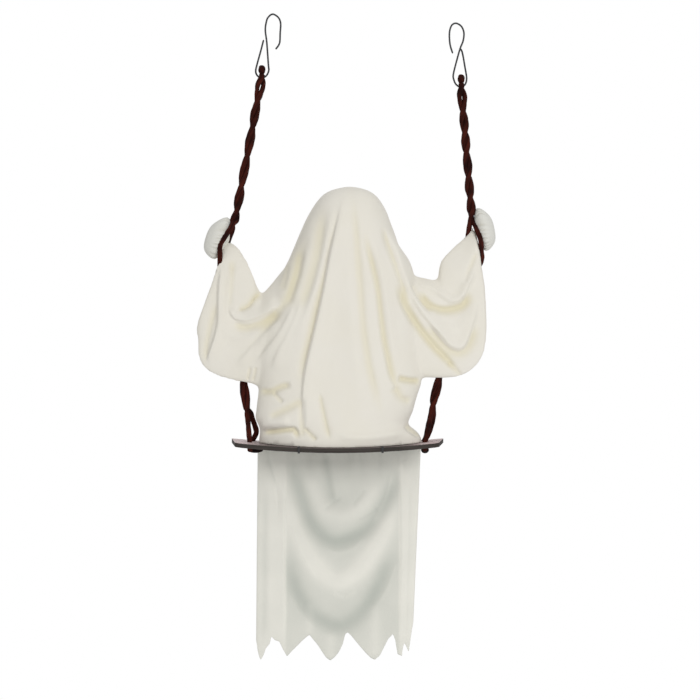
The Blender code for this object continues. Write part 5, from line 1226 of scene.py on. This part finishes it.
def light_scene():
    """A world that is white to the camera and dimmer to the object, and the lamps, which all point
    at the photograph's middle."""
    world = bpy.data.worlds.new("studio")
    world.use_nodes = True
    tree = world.node_tree
    background = tree.nodes["Background"]
    background.inputs["Color"].default_value = (1, 1, 1, 1)
    seen = tree.nodes.new("ShaderNodeLightPath")
    strength = tree.nodes.new("ShaderNodeMapRange")
    strength.inputs["To Min"].default_value = WORLD_LIGHT
    strength.inputs["To Max"].default_value = 1.0
    tree.links.new(seen.outputs["Is Camera Ray"], strength.inputs["Value"])
    tree.links.new(strength.outputs["Result"], background.inputs["Strength"])
    bpy.context.scene.world = world
    for name, (spot, energy, size) in LAMPS.items():
        data = bpy.data.lights.new(name, "AREA")
        data.energy = energy
        data.size = size
        lamp = add_object(name, data)
        lamp.location = spot
        direction = Vector(place(*PHOTO_MIDDLE_PX) - np.array(spot))
        lamp.rotation_euler = direction.to_track_quat("-Z", "Y").to_euler()
    bpy.context.scene.view_settings.view_transform = "Standard"


def dress_cad(material, *nodes):
    """Give the model's own nodes a material."""
    for node in nodes:
        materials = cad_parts[node].data.materials
        materials.clear()
        materials.append(material)


def build():
    """The stage, then every piece with its material, its body and the nodes that it replaces."""
    make_camera()
    light_scene()
    make_stage()
    # Cloths: pale, deep (painted shade in their folds) and the weave's depth. Ropes: deep and a lighter tone,
    # their shaded and lit tones as painted shade and highlight.
    cream = cloth_finish("robe_cloth", (0.795, 0.765, 0.69), (0.74, 0.69, 0.52), 0.35 * MM)
    # the skirt: the same cloth, whose grey-green deep colour is painted shade under the seat
    skirt_cream = cloth_finish("skirt_cloth", (0.83, 0.815, 0.74), (0.45, 0.475, 0.425), 0.45 * MM)
    rope = rope_finish("rope_cloth", (0.005, 0.0010, 0.0008), (0.082, 0.0125, 0.006))
    # the knots under the seat: a darker copy of the rope's colours, painted shade under the board
    shaded_knot_rope = rope_finish("knot_cloth", (0.004, 0.0016, 0.0014), (0.022, 0.008, 0.006))
    wire = wire_finish()
    felt = felt_finish()

    robe = make_robe(cream)
    stand_in(robe, "robe_cloth", "robe", "left_sleeve", "right_sleeve", body="figure")
    tree = BVHTree.FromPolygons([v.co for v in robe.data.vertices], [p.vertices for p in robe.data.polygons])
    for name, size, side, drop in FACE:
        middle = place(FACE_MIDDLE_PX, 0)[0] + side * EYE_SPAN / 2
        patch = make_patch("felt_" + name, size, middle, drop, tree, felt)
        stand_in(patch, "black_felt", name, body="figure")

    skirt = make_skirt(skirt_cream)
    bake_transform(skirt)
    stand_in(skirt, "skirt_cloth", "skirt")

    grey_cream = cloth_finish("hand_cloth", (0.72, 0.715, 0.665), (0.58, 0.56, 0.48), 0.35 * MM)
    for name, side, spot, tilt, length in HANDS:
        hand = make_hand(f"{name}_stuffed_hand", side, place(*spot), tilt, length, grey_cream)
        stand_in(hand, "robe_cloth", f"{name}_hand", body="figure")
    for name, hook in HOOKS.items():
        stand_in(make_hook(f"{name}_wire_hook", *hook, wire), "hook_wire", f"{name}_hook", body="hooks")
    make_ropes(rope, shaded_knot_rope)

    # Plastics: pale, deep and how rough
    dress_cad(board_finish(), "seat_board")
    dress_cad(plastic_finish("tie_plastic", (0.012, 0.012, 0.013), (0.02, 0.02, 0.021), 0.5),
              "left_seat_tie", "right_seat_tie")
    dress_cad(plastic_finish("flange_plastic", (0.03, 0.03, 0.032), (0.045, 0.045, 0.046), 0.5), "base_flange")
    dress_cad(plastic_finish("pale_plastic", (0.80, 0.80, 0.77), (0.74, 0.74, 0.71), 0.45),
              "spine_tube", "head_form")
    dress_cad(steel_finish(), "arm_wire")
    stuffing = make_stuffing(filling_finish())
    stand_in(stuffing, "stuffing", "torso_padding", body="figure")


build()
